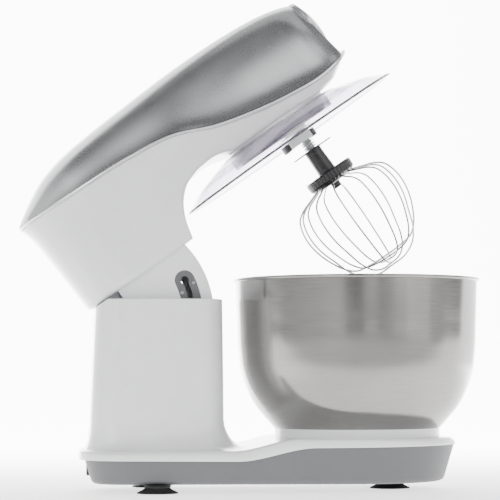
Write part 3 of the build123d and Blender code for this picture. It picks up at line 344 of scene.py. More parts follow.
# name: light and dark colour, grain in mm, stretch of the grain along x, y and z, roughness low and
# high, bump depth in mm, and constants of the shader
FINISHES = {
    # injection moulded ABS, high gloss tool: clean white with a faint orange peel
    "Gloss White ABS": ("ecedee", "e6e7e9", 9, (1, 1, 1), 0.20, 0.26, 0.012,
                        {"IOR": 1.52, "Coat Weight": 0.35, "Coat Roughness": 0.08}),
    # injection moulded ABS with spark-eroded texture: soft grey without sharp reflections
    "Textured Grey ABS": ("5e5f61", "58595b", 1.2, (1, 1, 1), 0.42, 0.52, 0.03, {"IOR": 1.5}),
    # compression moulded rubber: dull black with a slight bloom
    "Moulded Black Rubber": ("1b1b1c", "121213", 2.5, (1, 1, 1), 0.55, 0.7, 0.03, {"IOR": 1.48}),
    # matt moulded nylon, nearly black
    "Matt Dark Nylon": ("2b2b2d", "222224", 1.6, (1, 1, 1), 0.42, 0.5, 0.02, {"IOR": 1.5}),
    # polished black ABS
    "Satin Black ABS": ("141416", "0e0e10", 6, (1, 1, 1), 0.22, 0.3, 0.01, {"IOR": 1.52}),
    # sprayed metallic lacquer: fine flakes under a clear satin coat
    "Silver Lacquer": ("cfd0d2", "c4c5c8", 0.7, (1, 1, 1), 0.25, 0.31, 0.003,
                       {"Metallic": 0.95, "Coat Weight": 0.4, "Coat Roughness": 0.1, "Coat IOR": 1.5}),
    # bright lacquered edge strip
    "Bright Edge Lacquer": ("e6e7e9", "d9dadc", 2, (1, 1, 1), 0.18, 0.24, 0.004, {"Metallic": 0.8}),
    # chromium over polished plastic: mirror with faint wiping marks
    "Chrome Plate": ("f0f1f3", "e6e7ea", 18, (1, 1, 1), 0.02, 0.05, 0.0, {"Metallic": 1.0}),
    # spun and brushed 18/10 steel: fine marks run round the bowl, drawn coarse enough to show
    "Brushed Stainless Steel": ("a09f9d", "959391", 0.55, (0.03, 0.03, 1), 0.13, 0.19, 0.0012,
                                {"Metallic": 1.0}),
    # drawn and polished steel wire
    "Polished Steel Wire": ("d2d2d3", "bcbcbe", 1.5, (1, 1, 0.2), 0.14, 0.2, 0.0, {"Metallic": 1.0}),
    # zinc plated steel: pale grey with small spangles
    "Zinc Plated Steel": ("a9adb1", "979b9f", 3, (1, 1, 1), 0.26, 0.4, 0.004, {"Metallic": 1.0}),
    # clear moulded SAN: glassy with a faint violet tint
    "Clear Tinted SAN": ("f1edf6", "eae4f2", 14, (1, 1, 1), 0.03, 0.06, 0.0,
                         {"IOR": 1.46, "Transmission Weight": 0.96}),
    # natural moulded nylon: waxy ivory
    "Natural Nylon": ("e0dccd", "d5d0bf", 3, (1, 1, 1), 0.36, 0.46, 0.01, {"IOR": 1.53}),
    # as-cast zinc alloy
    "Die Cast Alloy": ("a0a1a3", "8f9092", 1.5, (1, 1, 1), 0.38, 0.5, 0.02, {"Metallic": 0.9}),
    # sintered bronze bush: warm and slightly porous
    "Sintered Bronze": ("a9814c", "8f6b3c", 0.8, (1, 1, 1), 0.38, 0.5, 0.02, {"Metallic": 1.0}),
    # enamelled copper wire and laminations
    "Enamelled Copper": ("b4703f", "93572d", 0.9, (1, 1, 0.3), 0.25, 0.35, 0.02, {"Metallic": 0.9}),
    # sintered ferrite and carbon: dark and grainy
    "Sintered Ferrite": ("3a3a3c", "29292b", 0.9, (1, 1, 1), 0.5, 0.65, 0.03, {"IOR": 1.6}),
    # green solder resist over glass fibre board
    "Green Circuit Laminate": ("1f6b3c", "185630", 1.4, (1, 1, 1), 0.3, 0.4, 0.01, {"IOR": 1.5}),
    # pad-printed ink on a moulding
    "Printed White Ink": ("ececec", "dedede", 0.6, (1, 1, 1), 0.45, 0.55, 0.0, {"IOR": 1.5}),
}
SLOT_FINISH = {
    "white_plastic": "Gloss White ABS", "grey_plastic": "Textured Grey ABS",
    "black_rubber": "Moulded Black Rubber", "dark_plastic": "Matt Dark Nylon",
    "black_plastic": "Satin Black ABS", "silver_paint": "Silver Lacquer",
    "bright_trim": "Bright Edge Lacquer", "chrome_plate": "Chrome Plate",
    "brushed_stainless": "Brushed Stainless Steel", "stainless_wire": "Polished Steel Wire",
    "zinc_steel": "Zinc Plated Steel", "clear_plastic": "Clear Tinted SAN", "nylon": "Natural Nylon",
    "die_cast": "Die Cast Alloy", "bronze": "Sintered Bronze", "copper": "Enamelled Copper",
    "ferrite": "Sintered Ferrite", "circuit_board": "Green Circuit Laminate",
}


def get_finish(name):
    """The material of that name, made on first use: noise of the grain's size mixes the two colours,
    moves the roughness between its two values and gives the bump."""
    if name in bpy.data.materials:
        return bpy.data.materials[name]
    light, dark, grain, stretch, low, high, depth, constants = FINISHES[name]
    material = bpy.data.materials.new(name)
    material.use_nodes = True
    tree = material.node_tree
    tree.nodes.clear()
    place = put(tree, "ShaderNodeTexCoord", {})
    sized = put(tree, "ShaderNodeMapping", {"Vector": place.outputs["Object"], "Scale": stretch})
    noise = put(tree, "ShaderNodeTexNoise", {
        "Vector": sized.outputs["Vector"], "Scale": 1 / (grain * MM), "Detail": 3.0, "Roughness": 0.55,
    })
    broad = put(tree, "ShaderNodeTexNoise", {
        "Vector": place.outputs["Object"], "Scale": 1 / (60 * MM), "Detail": 2.0,
    })
    both = put(tree, "ShaderNodeMath", {0: noise.outputs["Fac"], 1: broad.outputs["Fac"]}, operation="ADD")
    share = put(tree, "ShaderNodeMapRange", {"Value": both.outputs[0], "From Min": 0.7, "From Max": 1.3})
    tint = put(tree, "ShaderNodeMix", {
        "Factor": share.outputs[0], 6: linear(dark), 7: linear(light),
    }, data_type="RGBA")
    rough = put(tree, "ShaderNodeMapRange", {
        "Value": both.outputs[0], "From Min": 0.7, "From Max": 1.3, "To Min": low, "To Max": high,
    })
    shader = put(tree, "ShaderNodeBsdfPrincipled", {
        "Base Color": tint.outputs[2], "Roughness": rough.outputs[0], **constants,
    })
    if depth:
        relief = put(tree, "ShaderNodeBump", {
            "Height": noise.outputs["Fac"], "Distance": depth * MM, "Strength": 1.0,
        })
        tree.links.new(relief.outputs["Normal"], shader.inputs["Normal"])
    end = put(tree, "ShaderNodeOutputMaterial", {"Surface": shader.outputs["BSDF"]})
    end.is_active_output = True
    return material


# ------------------------------------------------------------------ settings

class MixerShape(bpy.types.PropertyGroup):
    """Sizes of the visible pieces, in millimetres."""
    flare_reach: bpy.props.FloatProperty(
        name="Column Flare Reach", description="How far the column's foot spreads",
        default=30.0,
    )
    flare_height: bpy.props.FloatProperty(
        name="Column Flare Height", description="How high the column's foot spreads",
        default=29.0,
    )
    edge_radius: bpy.props.FloatProperty(
        name="Deck Edge Radius", description="Rounding of the deck's edge",
        default=6.0,
    )
    cover_flare: bpy.props.FloatProperty(
        name="Cover Flare", description="How far the cover turns out above the trim",
        default=8.0,
    )
    cover_fade: bpy.props.FloatProperty(
        name="Cover Flare Height", description="Height over which the flare fades",
        default=9.0,
    )
    cover_power: bpy.props.FloatProperty(
        name="Cover Roundness", description="Power of the cover's cross section",
        default=2.25,
    )
    cap_height: bpy.props.FloatProperty(
        name="Nose Cap Height", description="How far the cap stands out",
        default=7.4,
    )
    sheet: bpy.props.FloatProperty(name="Bowl Sheet", description="Thickness of the bowl", default=0.9)
    wire: bpy.props.FloatProperty(name="Wire Radius", description="Radius of the whisk wires", default=0.9)
    numeral: bpy.props.FloatProperty(
        name="Numeral Size", description="Height of the dial numerals",
        default=5.0,
    )


class MixerStudio(bpy.types.PropertyGroup):
    """Lights and background."""
    key: bpy.props.FloatProperty(
        name="Key Light", description="Power of the key light",
        default=10.0, unit="POWER",
    )
    fill: bpy.props.FloatProperty(
        name="Fill Light", description="Power of the fill light",
        default=2.0, unit="POWER",
    )
    top: bpy.props.FloatProperty(
        name="Top Light", description="Power of the top light",
        default=3.0, unit="POWER",
    )
    sky: bpy.props.FloatProperty(name="Surround", description="Brightness of the surround", default=1.0)
    backdrop: bpy.props.FloatProperty(
        name="Backdrop Glow", description="Glow of the far backdrop",
        default=8.0,
    )
    floor: bpy.props.FloatProperty(name="Floor Glow", description="Glow of the floor", default=1.6)
    lens: bpy.props.FloatProperty(name="Lens", description="Focal length in millimetres", default=155.5)
    paper: bpy.props.FloatVectorProperty(
        name="Backdrop", description="Colour of the backdrop",
        subtype="COLOR", size=4, default=linear("f4f4f4"),
    )


# ------------------------------------------------------------------ base

class MIXER_OT_base_housing(bpy.types.Operator):
    """White housing of the base: one surface from inside the column, over its top, down its wall,
    out along the foot's flare, over the deck and its rounded edge, and closed under the seam"""
    bl_idname = "mixer.base_housing"
    bl_label = "Base Housing"

    def execute(self, context):
        size = context.scene.mixer_shape
        turns, ray = rays(spread(base_loop(0), 521))
        outer, foot = reach(base_loop(0), turns), reach(column_loop(60, 0), turns)
        gap = outer - foot
        edge = np.minimum(size.edge_radius, 0.35 * gap)
        spread_out = np.minimum(size.flare_reach, gap - edge - 0.4)
        slope_x, slope_foot = -151.4, 167.2  # where the sloping back part of the column's top begins
        inside = 60.0  # height of the floor closing the column, out of sight
        rows = []

        def row(distance, height):
            """Ring at a distance from the column centre, at a height or a function of x."""
            plan = COLUMN_CENTRE + ray * distance[:, None]
            rows.append(space(plan[:, 0], plan[:, 1], height(plan[:, 0]) if callable(height) else height))

        def wall(inset, share, drop=0.0):
            """Column wall at a share of its height, 0 at the foot's flare and 1 at the top edge."""
            distance = reach(column_loop(COLUMN_TOP, inset), turns)
            x = COLUMN_CENTRE[0] + ray[:, 0] * distance
            top = np.minimum(COLUMN_TOP, slope_foot + (x - slope_x) * math.tan(TILT)) - drop
            low = deck_height(COLUMN_CENTRE[0] + ray[:, 0] * foot) + size.flare_height
            height = low + (top - low) * share
            tall = np.clip((height - COLUMN_FOOT) / COLUMN_RISE, 0, 1)
            near, far = reach(column_loop(COLUMN_FOOT, inset), turns), distance
            row(near + (far - near) * tall, height)

        row(0 * outer, inside)
        row(reach(column_loop(inside, 2.6), turns), inside)
        wall(2.6, 1.0, 0.8)
        wall(2.0, 1.0, 0.2)
        wall(1.3, 1.0)
        wall(0.5, 1.0, 0.2)
        for share in (0.994, 0.97, 0.9, 0.75, 0.6, 0.45, 0.3, 0.15, 0.05):
            wall(0.0, share)
        low = deck_height(COLUMN_CENTRE[0] + ray[:, 0] * foot) + size.flare_height
        start = reach(column_loop(COLUMN_FOOT, 0), turns)
        start = start + (reach(column_loop(COLUMN_TOP, 0), turns) - start) * (low - COLUMN_FOOT) / COLUMN_RISE
        for bend in np.radians(np.linspace(0, 90, 15)):
            distance = start + (foot + spread_out - start) * (1 - math.cos(bend))
            row(distance, lambda x, b=bend: deck_height(x) + size.flare_height * (1 - math.sin(b)))
        for share in np.linspace(0, 1, 30)[1:]:
            row(foot + spread_out + (gap - edge - spread_out) * share, deck_height)
        for bend in np.radians(np.linspace(0, 90, 9)[1:]):
            row(outer - edge * (1 - math.sin(bend)),
                lambda x, b=bend: deck_height(x) - edge * (1 - math.cos(b)))
        row(outer, lambda x: seam_height(x) + 0.6)
        row(outer - 0.5, seam_height)
        for share in (0.97, 0.8, 0.6, 0.4, 0.2, 0.0):
            row((outer - 0.5) * share, seam_height)
        recess = revolved([(0, 43.7), (77.6, 43.7), (78, 44.1), (78, 90), (0, 90)], BOWL_X, 240)
        add_piece("base_housing_shell", [np.array(rows)], "base", "Gloss White ABS",
                  ["base_housing"], [recess])
        return {"FINISHED"}


class MIXER_OT_base_tub(bpy.types.Operator):
    """Grey tub: the base outline drawn in as it goes down, with a round lower edge"""
    bl_idname = "mixer.base_tub"
    bl_label = "Base Tub"

    def execute(self, context):
        turns, ray = rays(spread(base_loop(0), 361))
        middle = np.array((10.0, 0.0))
        slant = 17  # degrees by which the wall leans in
        taper = math.tan(math.radians(slant))
        inset_at_foot, inset_at_seam, bottom, radius = 12.0, 0.4, 8.0, 6.0
        turn_inset = inset_at_foot - radius * taper + radius / math.cos(math.radians(slant))
        rows = [space(np.full(len(ray), middle[0]), 0, bottom)]

        def row(inset, height):
            plan = COLUMN_CENTRE + ray * reach(base_loop(inset), turns)[:, None]
            rows.append(space(plan[:, 0], plan[:, 1], height))

        for bend in np.radians(np.linspace(-90, -slant, 8)):
            row(turn_inset - radius * math.cos(bend), bottom + radius * (1 + math.sin(bend)))
        low, high = 12.4, seam_height(COLUMN_CENTRE[0] + ray[:, 0] * reach(base_loop(3), turns))
        near, far = reach(base_loop(inset_at_seam), turns), reach(base_loop(inset_at_foot), turns)
        for share in np.linspace(0.1, 1, 10):
            height = low + (high - low) * share
            inset = np.maximum(inset_at_foot - (height - bottom) * taper, inset_at_seam)
            distance = near + (far - near) * (inset - inset_at_seam) / (inset_at_foot - inset_at_seam)
            plan = COLUMN_CENTRE + ray * distance[:, None]
            rows.append(space(plan[:, 0], plan[:, 1], height))
        rim = rows[-1]
        for share in (0.7, 0.4, 0.15, 0.0):
            plan = middle + (rim[:, :2] - middle) * share
            rows.append(space(plan[:, 0], plan[:, 1], seam_height(plan[:, 0]) - 0.1))
        add_piece("base_tub_shell", [np.array(rows)], "base", "Textured Grey ABS",
                  ["base_tub"])
        return {"FINISHED"}


class MIXER_OT_gland(bpy.types.Operator):
    """Cord inlet: a ribbed rubber bush set flush in the back of the tub, turned about its own axis"""
    bl_idname = "mixer.gland"
    bl_label = "Cord Gland"

    def execute(self, context):
        low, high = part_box("cord_gland")
        face, height = -154.6, (low.z + high.z) / 2 / MM
        profile = [(0, 3), (2.6, 3), (3.0, 0.2), (4.2, -0.4), (4.6, 0), (4.9, 0.4), (5.3, 0), (6.4, -0.4),
                   (7.0, 0.4), (7.0, 5), (0, 5)]
        ring = revolved(profile, 0, 48)
        grid = space(face + ring[..., 2], ring[..., 1] + (low.y + high.y) / 2 / MM, height + ring[..., 0])
        add_piece("cord_inlet", [grid], "base", "Moulded Black Rubber", ["cord_gland"])
        return {"FINISHED"}


class MIXER_OT_feet(bpy.types.Operator):
    """Rubber feet: a cup with a thin flared lip, turned about its own axis"""
    bl_idname = "mixer.feet"
    bl_label = "Suction Feet"

    def execute(self, context):
        profile = np.vstack((
            [(0, 1.6), (12.5, 0.15), (18.6, 0.0)],
            arc((18.5, 0.6), 0.6, -80, 110, 7),
            smooth_line([(17.0, 2.0), (13.4, 3.8), (11.6, 5.6), (12.0, 7.0), (12.9, 8.2)], 14),
            [(0, 8.2)],
        ))
        places = ((-91, -58), (-91, 58), (132, 0))
        grids = [revolved(profile, 0, 72) + np.array((x, y, 0.0)) for x, y in places]
        add_piece("rubber_feet", grids, "base", "Moulded Black Rubber", ["suction_feet"])
        return {"FINISHED"}


# ------------------------------------------------------------------ bowl

class MIXER_OT_bowl(bpy.types.Operator):
    """Mixing bowl: sheet turned about the bowl axis, with a rolled rim"""
    bl_idname = "mixer.bowl"
    bl_label = "Mixing Bowl"

    def execute(self, context):
        sheet = context.scene.mixer_shape.sheet
        outside = smooth_line([
            (50, 45.2), (60, 46.0), (68.5, 49.6), (77.3, 56.5), (84.1, 64.1), (96.7, 79.2), (104.6, 94.4),
            (109.6, 109.6), (112.2, 130.6), (113.3, 159), (114.0, 180), (114.5, 195.2),
        ], 90)
        run = np.gradient(outside, axis=0)
        inward = np.column_stack((-run[:, 1], run[:, 0])) / np.linalg.norm(run, axis=1)[:, None]
        inside = outside + inward * sheet
        bead = arc((115.2, 196.8), 1.6, -110, 165, 22)
        profile = np.vstack(([(0, 45.1)], outside, bead, inside[::-1], [(0, 45.1 + sheet)]))
        add_piece("bowl_shell", [revolved(profile, BOWL_X, 256)], "bowl", "Brushed Stainless Steel",
                  ["mixing_bowl"], crease=50)
        return {"FINISHED"}


# ------------------------------------------------------------------ head

class MIXER_OT_lower_housing(bpy.types.Operator):
    """White housing of the head: from the trim line down its sides, round the lower edge and across
    the underside, with a round opening for the drive"""
    bl_idname = "mixer.lower_housing"
    bl_label = "Head Lower Housing"

    def execute(self, context):
        def denser(x):
            return 1 + 3.0 * ((x > -36) & (x < 14))

        loop = head_loop(641, weight=denser)
        x, y = loop.T
        top = trim_height(x) - 1.9
        nose_x, back_x, half = 120, -130, 56.0  # the lower edge draws in beyond these
        low_x = np.where(x < back_x, back_x + (x - back_x) * 0.64, x)
        low_x = np.where(x > nose_x, nose_x + (x - nose_x) * 36.0 / 74.5, low_x)
        low_y = y * np.where(np.abs(y) > half * 0.85, half / np.maximum(head_half(x), half), 1.0)
        low_y = np.clip(low_y, -half, half)
        bottom = underside_height(low_x)
        front, rear = ease((x - 95) / 75), ease((-112 - x) / 30)  # shares of the nose and of the back
        rows = [space(np.clip(x, back_x, 150), 0, top - 1.5), space(x - x * 0.03, y * 0.96, top - 0.6),
                space(x, y * 0.985, top)]
        shares = np.concatenate((np.linspace(0, 0.2, 7), np.linspace(0.25, 0.9, 14), np.linspace(0.92, 1, 5)))
        front_share = np.interp(shares, (0, 0.13, 0.83, 0.95, 1), (0, 0.1, 0.6, 0.79, 0.96))
        rear_share = np.interp(shares, (0, 0.03, 0.17, 0.5, 1), (0, 0.17, 0.5, 0.75, 1))
        radius = 5.0
        for share, ahead, behind in zip(shares, front_share, rear_share):
            floor = bottom + radius * (1 - front * 0.9)
            height = top + (floor - top) * share
            side = np.clip((262 - height) / 36, 0, 1)
            blend = side * (1 - front - rear) + ahead * front + behind * rear
            rows.append(space(x + (low_x - x) * blend, y + (low_y - y) * blend, height))
        edge = rows[-1]
        spine = np.clip(edge[:, 0], -118, 128)
        away = np.column_stack((spine - edge[:, 0], -edge[:, 1]))
        length = np.maximum(np.linalg.norm(away, axis=1), 1e-6)
        away = away / length[:, None]
        for bend in np.radians((25, 50, 70, 90)):
            step = np.minimum(radius * (1 - math.cos(bend)), length)
            plan = edge[:, :2] + away * step[:, None]
            drop = radius * (1 - front * 0.9) * (1 - math.sin(bend))
            rows.append(space(plan[:, 0], plan[:, 1], underside_height(plan[:, 0]) + drop))
        rim = rows[-1]
        for share in (0.85, 0.6, 0.3, 0.0):
            plan_x = spine + (rim[:, 0] - spine) * share
            rows.append(space(plan_x, rim[:, 1] * share, underside_height(plan_x)))
        opening = lift(revolved([(0, 205), (50.6, 205), (50.6, 237), (0, 237)], BOWL_X, 180))
        add_piece("head_lower_shell", [lift(np.array(rows))], "head", "Gloss White ABS",
                  ["head_lower_housing"], [opening])
        return {"FINISHED"}


class MIXER_OT_cover(bpy.types.Operator):
    """Silver cover: a superellipse section over each station, widened by an exponential flare near the
    trim, carried to the leaning oval face of the nose, which closes on its middle"""
    bl_idname = "mixer.cover"
    bl_label = "Head Cover"

    def execute(self, context):
        size = context.scene.mixer_shape
        loop = head_loop(1200)
        tip = loop[(loop[:, 0] > 150) & (loop[:, 1] >= 0)]
        tip = tip[np.argsort(tip[:, 1])]
        back, last = -154.9, 184.6
        stations = np.concatenate((
            back + 60 * (1 - np.cos(np.radians(np.linspace(0, 90, 26)))), np.linspace(-94, last, 78)[1:],
        ))
        turn = np.linspace(0, math.pi, 97)
        power = 2 / size.cover_power
        across = np.sign(np.cos(turn)) * np.abs(np.cos(turn)) ** power
        up = np.sin(turn) ** power
        under = np.linspace(-1, 1, 41)[1:]
        spine = smooth_line(SPINE_LINE, 400)
        x = stations[:, None]
        low = trim_height(x) + 2.0
        lean = NOSE_SLOPE * ease((x - 60) / (last - 60))
        crown = np.interp(x, spine[:, 0], spine[:, 1])
        crown = np.interp(x - lean * (crown - low), spine[:, 0], spine[:, 1])
        width = head_half(x)
        flare = np.minimum(size.cover_flare * (1 - 0.45 * ease((x - 120) / 60)), 0.3 * width)
        height = np.maximum(crown - low, 0.01) * up
        turned_out = np.sign(across) * np.exp(-height / size.cover_fade) * np.abs(across) ** 0.2
        y = (width - flare) * across + flare * turned_out
        dome = space(x - lean * height, y, low + height)
        floor = space(x, width * under, low)
        grid = np.concatenate((dome, floor), axis=1)
        nose = grid[-1]
        middle = np.array((0.0, NOSE_CENTRE[1]))
        base = float(low[-1, 0])
        fill = []
        step_in = last - (NOSE_CENTRE[0] + NOSE_SLOPE * (NOSE_CENTRE[1] - base))
        beak_fade = 3.6  # height over which the beak runs back into the oval face
        for share in (1.0, 0.985, 0.965, 0.94, 0.91, 0.87, 0.82, 0.76, 0.66, 0.5, 0.3, 0.15, 0.0):
            plane = middle + (nose[:, 1:] - middle) * share
            above = np.maximum(plane[:, 1] - base, 0)
            beak = np.interp(np.abs(plane[:, 0]), tip[:, 1], tip[:, 0]) - last
            face = NOSE_CENTRE[0] - NOSE_SLOPE * (plane[:, 1] - NOSE_CENTRE[1])
            soft = 1.4 * max(0.0, (share - 0.94) / 0.06) ** 2 * (1 - np.exp(-above / 6))
            ahead = np.maximum(beak, 0) * np.exp(-above / beak_fade)
            fill.append(space(face - soft + ahead + step_in * np.exp(-above / beak_fade),
                              plane[:, 0], plane[:, 1]))
        grid = np.concatenate((grid[:-1], np.array(fill)))
        add_piece("head_cover_shell", [lift(grid)], "head", "Silver Lacquer",
                  ["head_top_cover"], crease=50)
        return {"FINISHED"}


class MIXER_OT_trim(bpy.types.Operator):
    """Bright trim strip: a small rounded section carried round the head along the trim line"""
    bl_idname = "mixer.trim"
    bl_label = "Trim Strip"

    def execute(self, context):
        section = [(-2.4, -1.5), (-0.2, -1.6), (0.5, -1.3), (0.8, -0.6), (0.8, 0.6), (0.5, 1.3), (-0.2, 1.6),
                   (-2.4, 1.5), (-2.4, -1.5)]
        height = trim_height(head_loop(481)[:, 0])
        rows = []
        for out, rise in section:
            plan = head_loop(481, inset=-out)
            rows.append(space(plan[:, 0], plan[:, 1], height + rise))
        add_piece("trim_strip", [lift(np.array(rows))], "head", "Bright Edge Lacquer",
                  ["trim_band"])
        return {"FINISHED"}


class MIXER_OT_nose(bpy.types.Operator):
    """Oval nose ring and chrome cap: heights over an ellipse on the leaning face"""
    bl_idname = "mixer.nose"
    bl_label = "Nose Cap"

    def execute(self, context):
        size = context.scene.mixer_shape
        lean = math.atan(NOSE_SLOPE)
        turn = np.linspace(0, 2 * math.pi, 145)

        def on_face(share, height, tall=27.8, wide=26.4):
            """Ring at a share of the oval, at a height off the face."""
            v = share * tall * np.sin(turn)
            x = NOSE_CENTRE[0] + height * math.cos(lean) - v * math.sin(lean)
            z = NOSE_CENTRE[1] + height * math.sin(lean) + v * math.cos(lean)
            return space(x, share * wide * np.cos(turn), z)

        ring = [on_face(s, h) for s, h in (
            (0.9, -1), (1.0, -1), (1.0, 1.4), (0.993, 2.1), (0.975, 2.6), (0.95, 2.7), (0.925, 2.5),
            (0.91, 2.0), (0.905, 1.2), (0.9, -1),
        )]
        shares = np.sin(np.radians(np.linspace(0, 90, 22)))
        rim = 1.6  # height of the cap where it meets the ring
        cap = [on_face(0.0, -1), on_face(0.9, -1)]
        cap += [on_face(0.9 * s, rim + (size.cap_height - rim) * (1 - s ** 2.3) ** 0.62)
                for s in shares[::-1]]
        add_piece("nose_ring", [lift(np.array(ring))], "head", "Bright Edge Lacquer",
                  ["nose_bezel"])
        add_piece("nose_dome", [lift(np.array(cap))], "head", "Chrome Plate", ["nose_cap"])
        return {"FINISHED"}


class MIXER_OT_guard(bpy.types.Operator):
    """Clear splash guard: a thin skirt turned about the drive axis, with a collar and a rolled rim"""
    bl_idname = "mixer.guard"
    bl_label = "Splash Guard"

    def execute(self, context):
        profile = np.vstack((
            [(53.7, 204.2), (55.3, 204.0), (55.6, 204.6)],
            smooth_line([(55.6, 216.6), (56.6, 218.7), (60, 219.0), (81, 214.0), (97, 208.4), (108, 202.6),
                         (113.6, 199.4)], 60),
            arc((115.4, 200.5), 1.3, -120, 90, 10),
            smooth_line([(113.6, 202.2), (107.6, 205.4), (96.4, 211.0), (81, 216.2), (60, 221.6)], 50),
            [(55.0, 222.0), (53.9, 221.8), (53.7, 221.0), (53.7, 204.2)],
        ))
        add_piece("guard_skirt", [lift(revolved(profile, BOWL_X, 220))], "guard", "Clear Tinted SAN",
                  ["splash_guard"])
        return {"FINISHED"}


class MIXER_OT_whisk(bpy.types.Operator):
    """Balloon whisk: wire loops in upright planes through the whisk axis, under a ribbed dish"""
    bl_idname = "mixer.whisk"
    bl_label = "Balloon Whisk"

    def execute(self, context):
        wire = context.scene.mixer_shape.wire
        loops, grids = 6, []
        for loop in range(loops):
            turn = math.pi * (loop + 0.5) / loops
            low = 49.9 + 2.2 * loop
            half = [(20.6, 147.2), (30, 144.0), (41, 140.0), (48.6, 134.5), (52.8, 125), (54.2, 112),
                    (52.4, 99), (47, 84), (40, 67 + loop), (32, 57.5 + 1.4 * loop), (17, low + 0.6), (0, low)]
            flat = smooth_line(half + [(-r, z) for r, z in half[-2::-1]], 180)
            direction = np.array((math.cos(turn), math.sin(turn), 0.0))
            upright = flat[:, 1:] * np.array((0, 0, 1.0))
            path = np.array((WHISK_X, 0.0, 0.0)) + flat[:, :1] * direction + upright
            grids.append(lift(tube(path, wire, np.array((-direction[1], direction[0], 0.0)))))
        add_piece("balloon_wires", grids, "whisk", "Polished Steel Wire", ["whisk_wires"])

        profile = np.vstack((
            [(0, 140.2)], arc((3.4, 141.2), 1.0, -90, 0, 5), [(4.6, 145.4), (5.6, 145.8), (16.8, 145.8)],
            smooth_line([(17.8, 146.0), (21.5, 147.9), (24.2, 150.0), (24.6, 153.0), (24.8, 156.6)], 16),
            [(24.5, 157.6), (23.6, 158.4), (12, 158.8), (0, 158.8)],
        ))
        dish = revolved(profile, 0, 288)
        turn = np.linspace(0, 2 * math.pi, 289)
        on_side = ((profile[:, 0] > 21) & (profile[:, 1] < 157.2))[:, None]
        rib = 1 - 0.02 * on_side * np.clip(np.cos(36 * turn), 0, 1)[None, :]
        dish[..., :2] *= rib[..., None]
        dish[..., 0] += WHISK_X
        add_piece("whisk_hub", [lift(dish)], "whisk", "Satin Black ABS", ["whisk_dish"])
        return {"FINISHED"}


def spring_grid(start, end, radius, wire, turns):
    """Tube along a helix from start to end, with its last turn at each end nearly closed."""
    start, end = np.asarray(start, float), np.asarray(end, float)
    axis = (end - start) / np.linalg.norm(end - start)
    first = np.cross(axis, (0.0, 0.0, 1.0) if abs(axis[2]) < 0.9 else (1.0, 0.0, 0.0))
    first /= np.linalg.norm(first)
    second = np.cross(axis, first)
    share = np.linspace(0, 1, int(turns * 40))
    turn = 2 * math.pi * turns * share
    out = np.cos(turn)[:, None] * first + np.sin(turn)[:, None] * second
    length = np.linalg.norm(end - start) - 2 * wire
    path = start + axis * (wire + length * ease(share))[:, None] + radius * out
    tangent = np.gradient(path, axis=0)
    tangent /= np.linalg.norm(tangent, axis=1)[:, None]
    other = np.cross(tangent, out)
    other /= np.linalg.norm(other, axis=1)[:, None]
    round_wire = np.linspace(0, 2 * math.pi, 11)[None, :, None]
    rings = path[:, None] + wire * (np.cos(round_wire) * out[:, None] + np.sin(round_wire) * other[:, None])
    ends = [np.repeat(point[None, None], 11, axis=1) for point in (path[0], path[-1])]
    return np.concatenate((ends[0], rings, ends[1]))


class MIXER_OT_springs(bpy.types.Operator):
    """Coil spring of the whisk socket, built at one fixed length; the real spring shortens as the whisk is
    pushed up
    """
    bl_idname = "mixer.springs"
    bl_label = "Socket Spring"

    def execute(self, context):
        low, high = 185.2, 193.2
        ends = lift(np.array([(WHISK_X, 0, low), (WHISK_X, 0, high)], float))
        coil = add_piece("socket_spring", [spring_grid(ends[0], ends[1], 6.0, 0.55, 3.6)], "beater",
                         "Polished Steel Wire", ["whisk_spring"])
        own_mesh(coil)
        return {"FINISHED"}


# ------------------------------------------------------------------ dial and carried-over parts

class MIXER_OT_numerals(bpy.types.Operator):
    """Numerals of the speed dial, printed on the ring round the knob"""
    bl_idname = "mixer.numerals"
    bl_label = "Dial Numerals"

    def execute(self, context):
        low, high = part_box("dial_ring")
        centre = (low + high) / 2
        size = context.scene.mixer_shape.numeral
        mesh = bpy.data.meshes.new("dial_numerals")
        shape = bmesh.new()
        first, spacing, radius = 210, 48, 26.4 * MM  # degrees of the first mark and between marks
        for step, mark in enumerate("012345"):
            turn = math.radians(first - spacing * step)
            text = bpy.data.curves.new("mark", "FONT")
            text.body, text.size, text.extrude = mark, size * MM, 0.0001
            text.align_x, text.align_y = "CENTER", "CENTER"
            holder = bpy.data.objects.new("mark", text)
            bpy.context.scene.collection.objects.link(holder)
            bpy.context.view_layer.update()
            flat = bpy.data.meshes.new_from_object(holder)
            place = Vector((centre.x - radius * math.cos(turn), high.y + 0.00005,
                            centre.z + radius * math.sin(turn)))
            flat.transform(Matrix.Translation(place) @ Matrix.Rotation(math.pi, 4, "Z")
                           @ Matrix.Rotation(math.radians(90), 4, "X"))
            shape.from_mesh(flat)
            bpy.data.objects.remove(holder)
        shape.to_mesh(mesh)
        shape.free()
        piece = bpy.data.objects.new("dial_numerals", mesh)
        bpy.context.scene.collection.objects.link(piece)
        mesh.materials.clear()
        mesh.materials.append(get_finish("Printed White Ink"))
        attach(piece, "base")
        return {"FINISHED"}


class MIXER_OT_carried_parts(bpy.types.Operator):
    """Gives every CAD part that stays visible the finish of its own material slot"""
    bl_idname = "mixer.carried_parts"
    bl_label = "Carried-Over Parts"

    def execute(self, context):
        for name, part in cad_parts.items():
            if part.hide_render:
                continue
            for holder in part.material_slots:
                slot = holder.material.name.split(".")[0]
                if slot not in SLOT_FINISH:
                    raise RuntimeError(f"{name} has no finish for the slot {slot}")
                holder.material = get_finish(SLOT_FINISH[slot])
        return {"FINISHED"}


# ------------------------------------------------------------------ studio

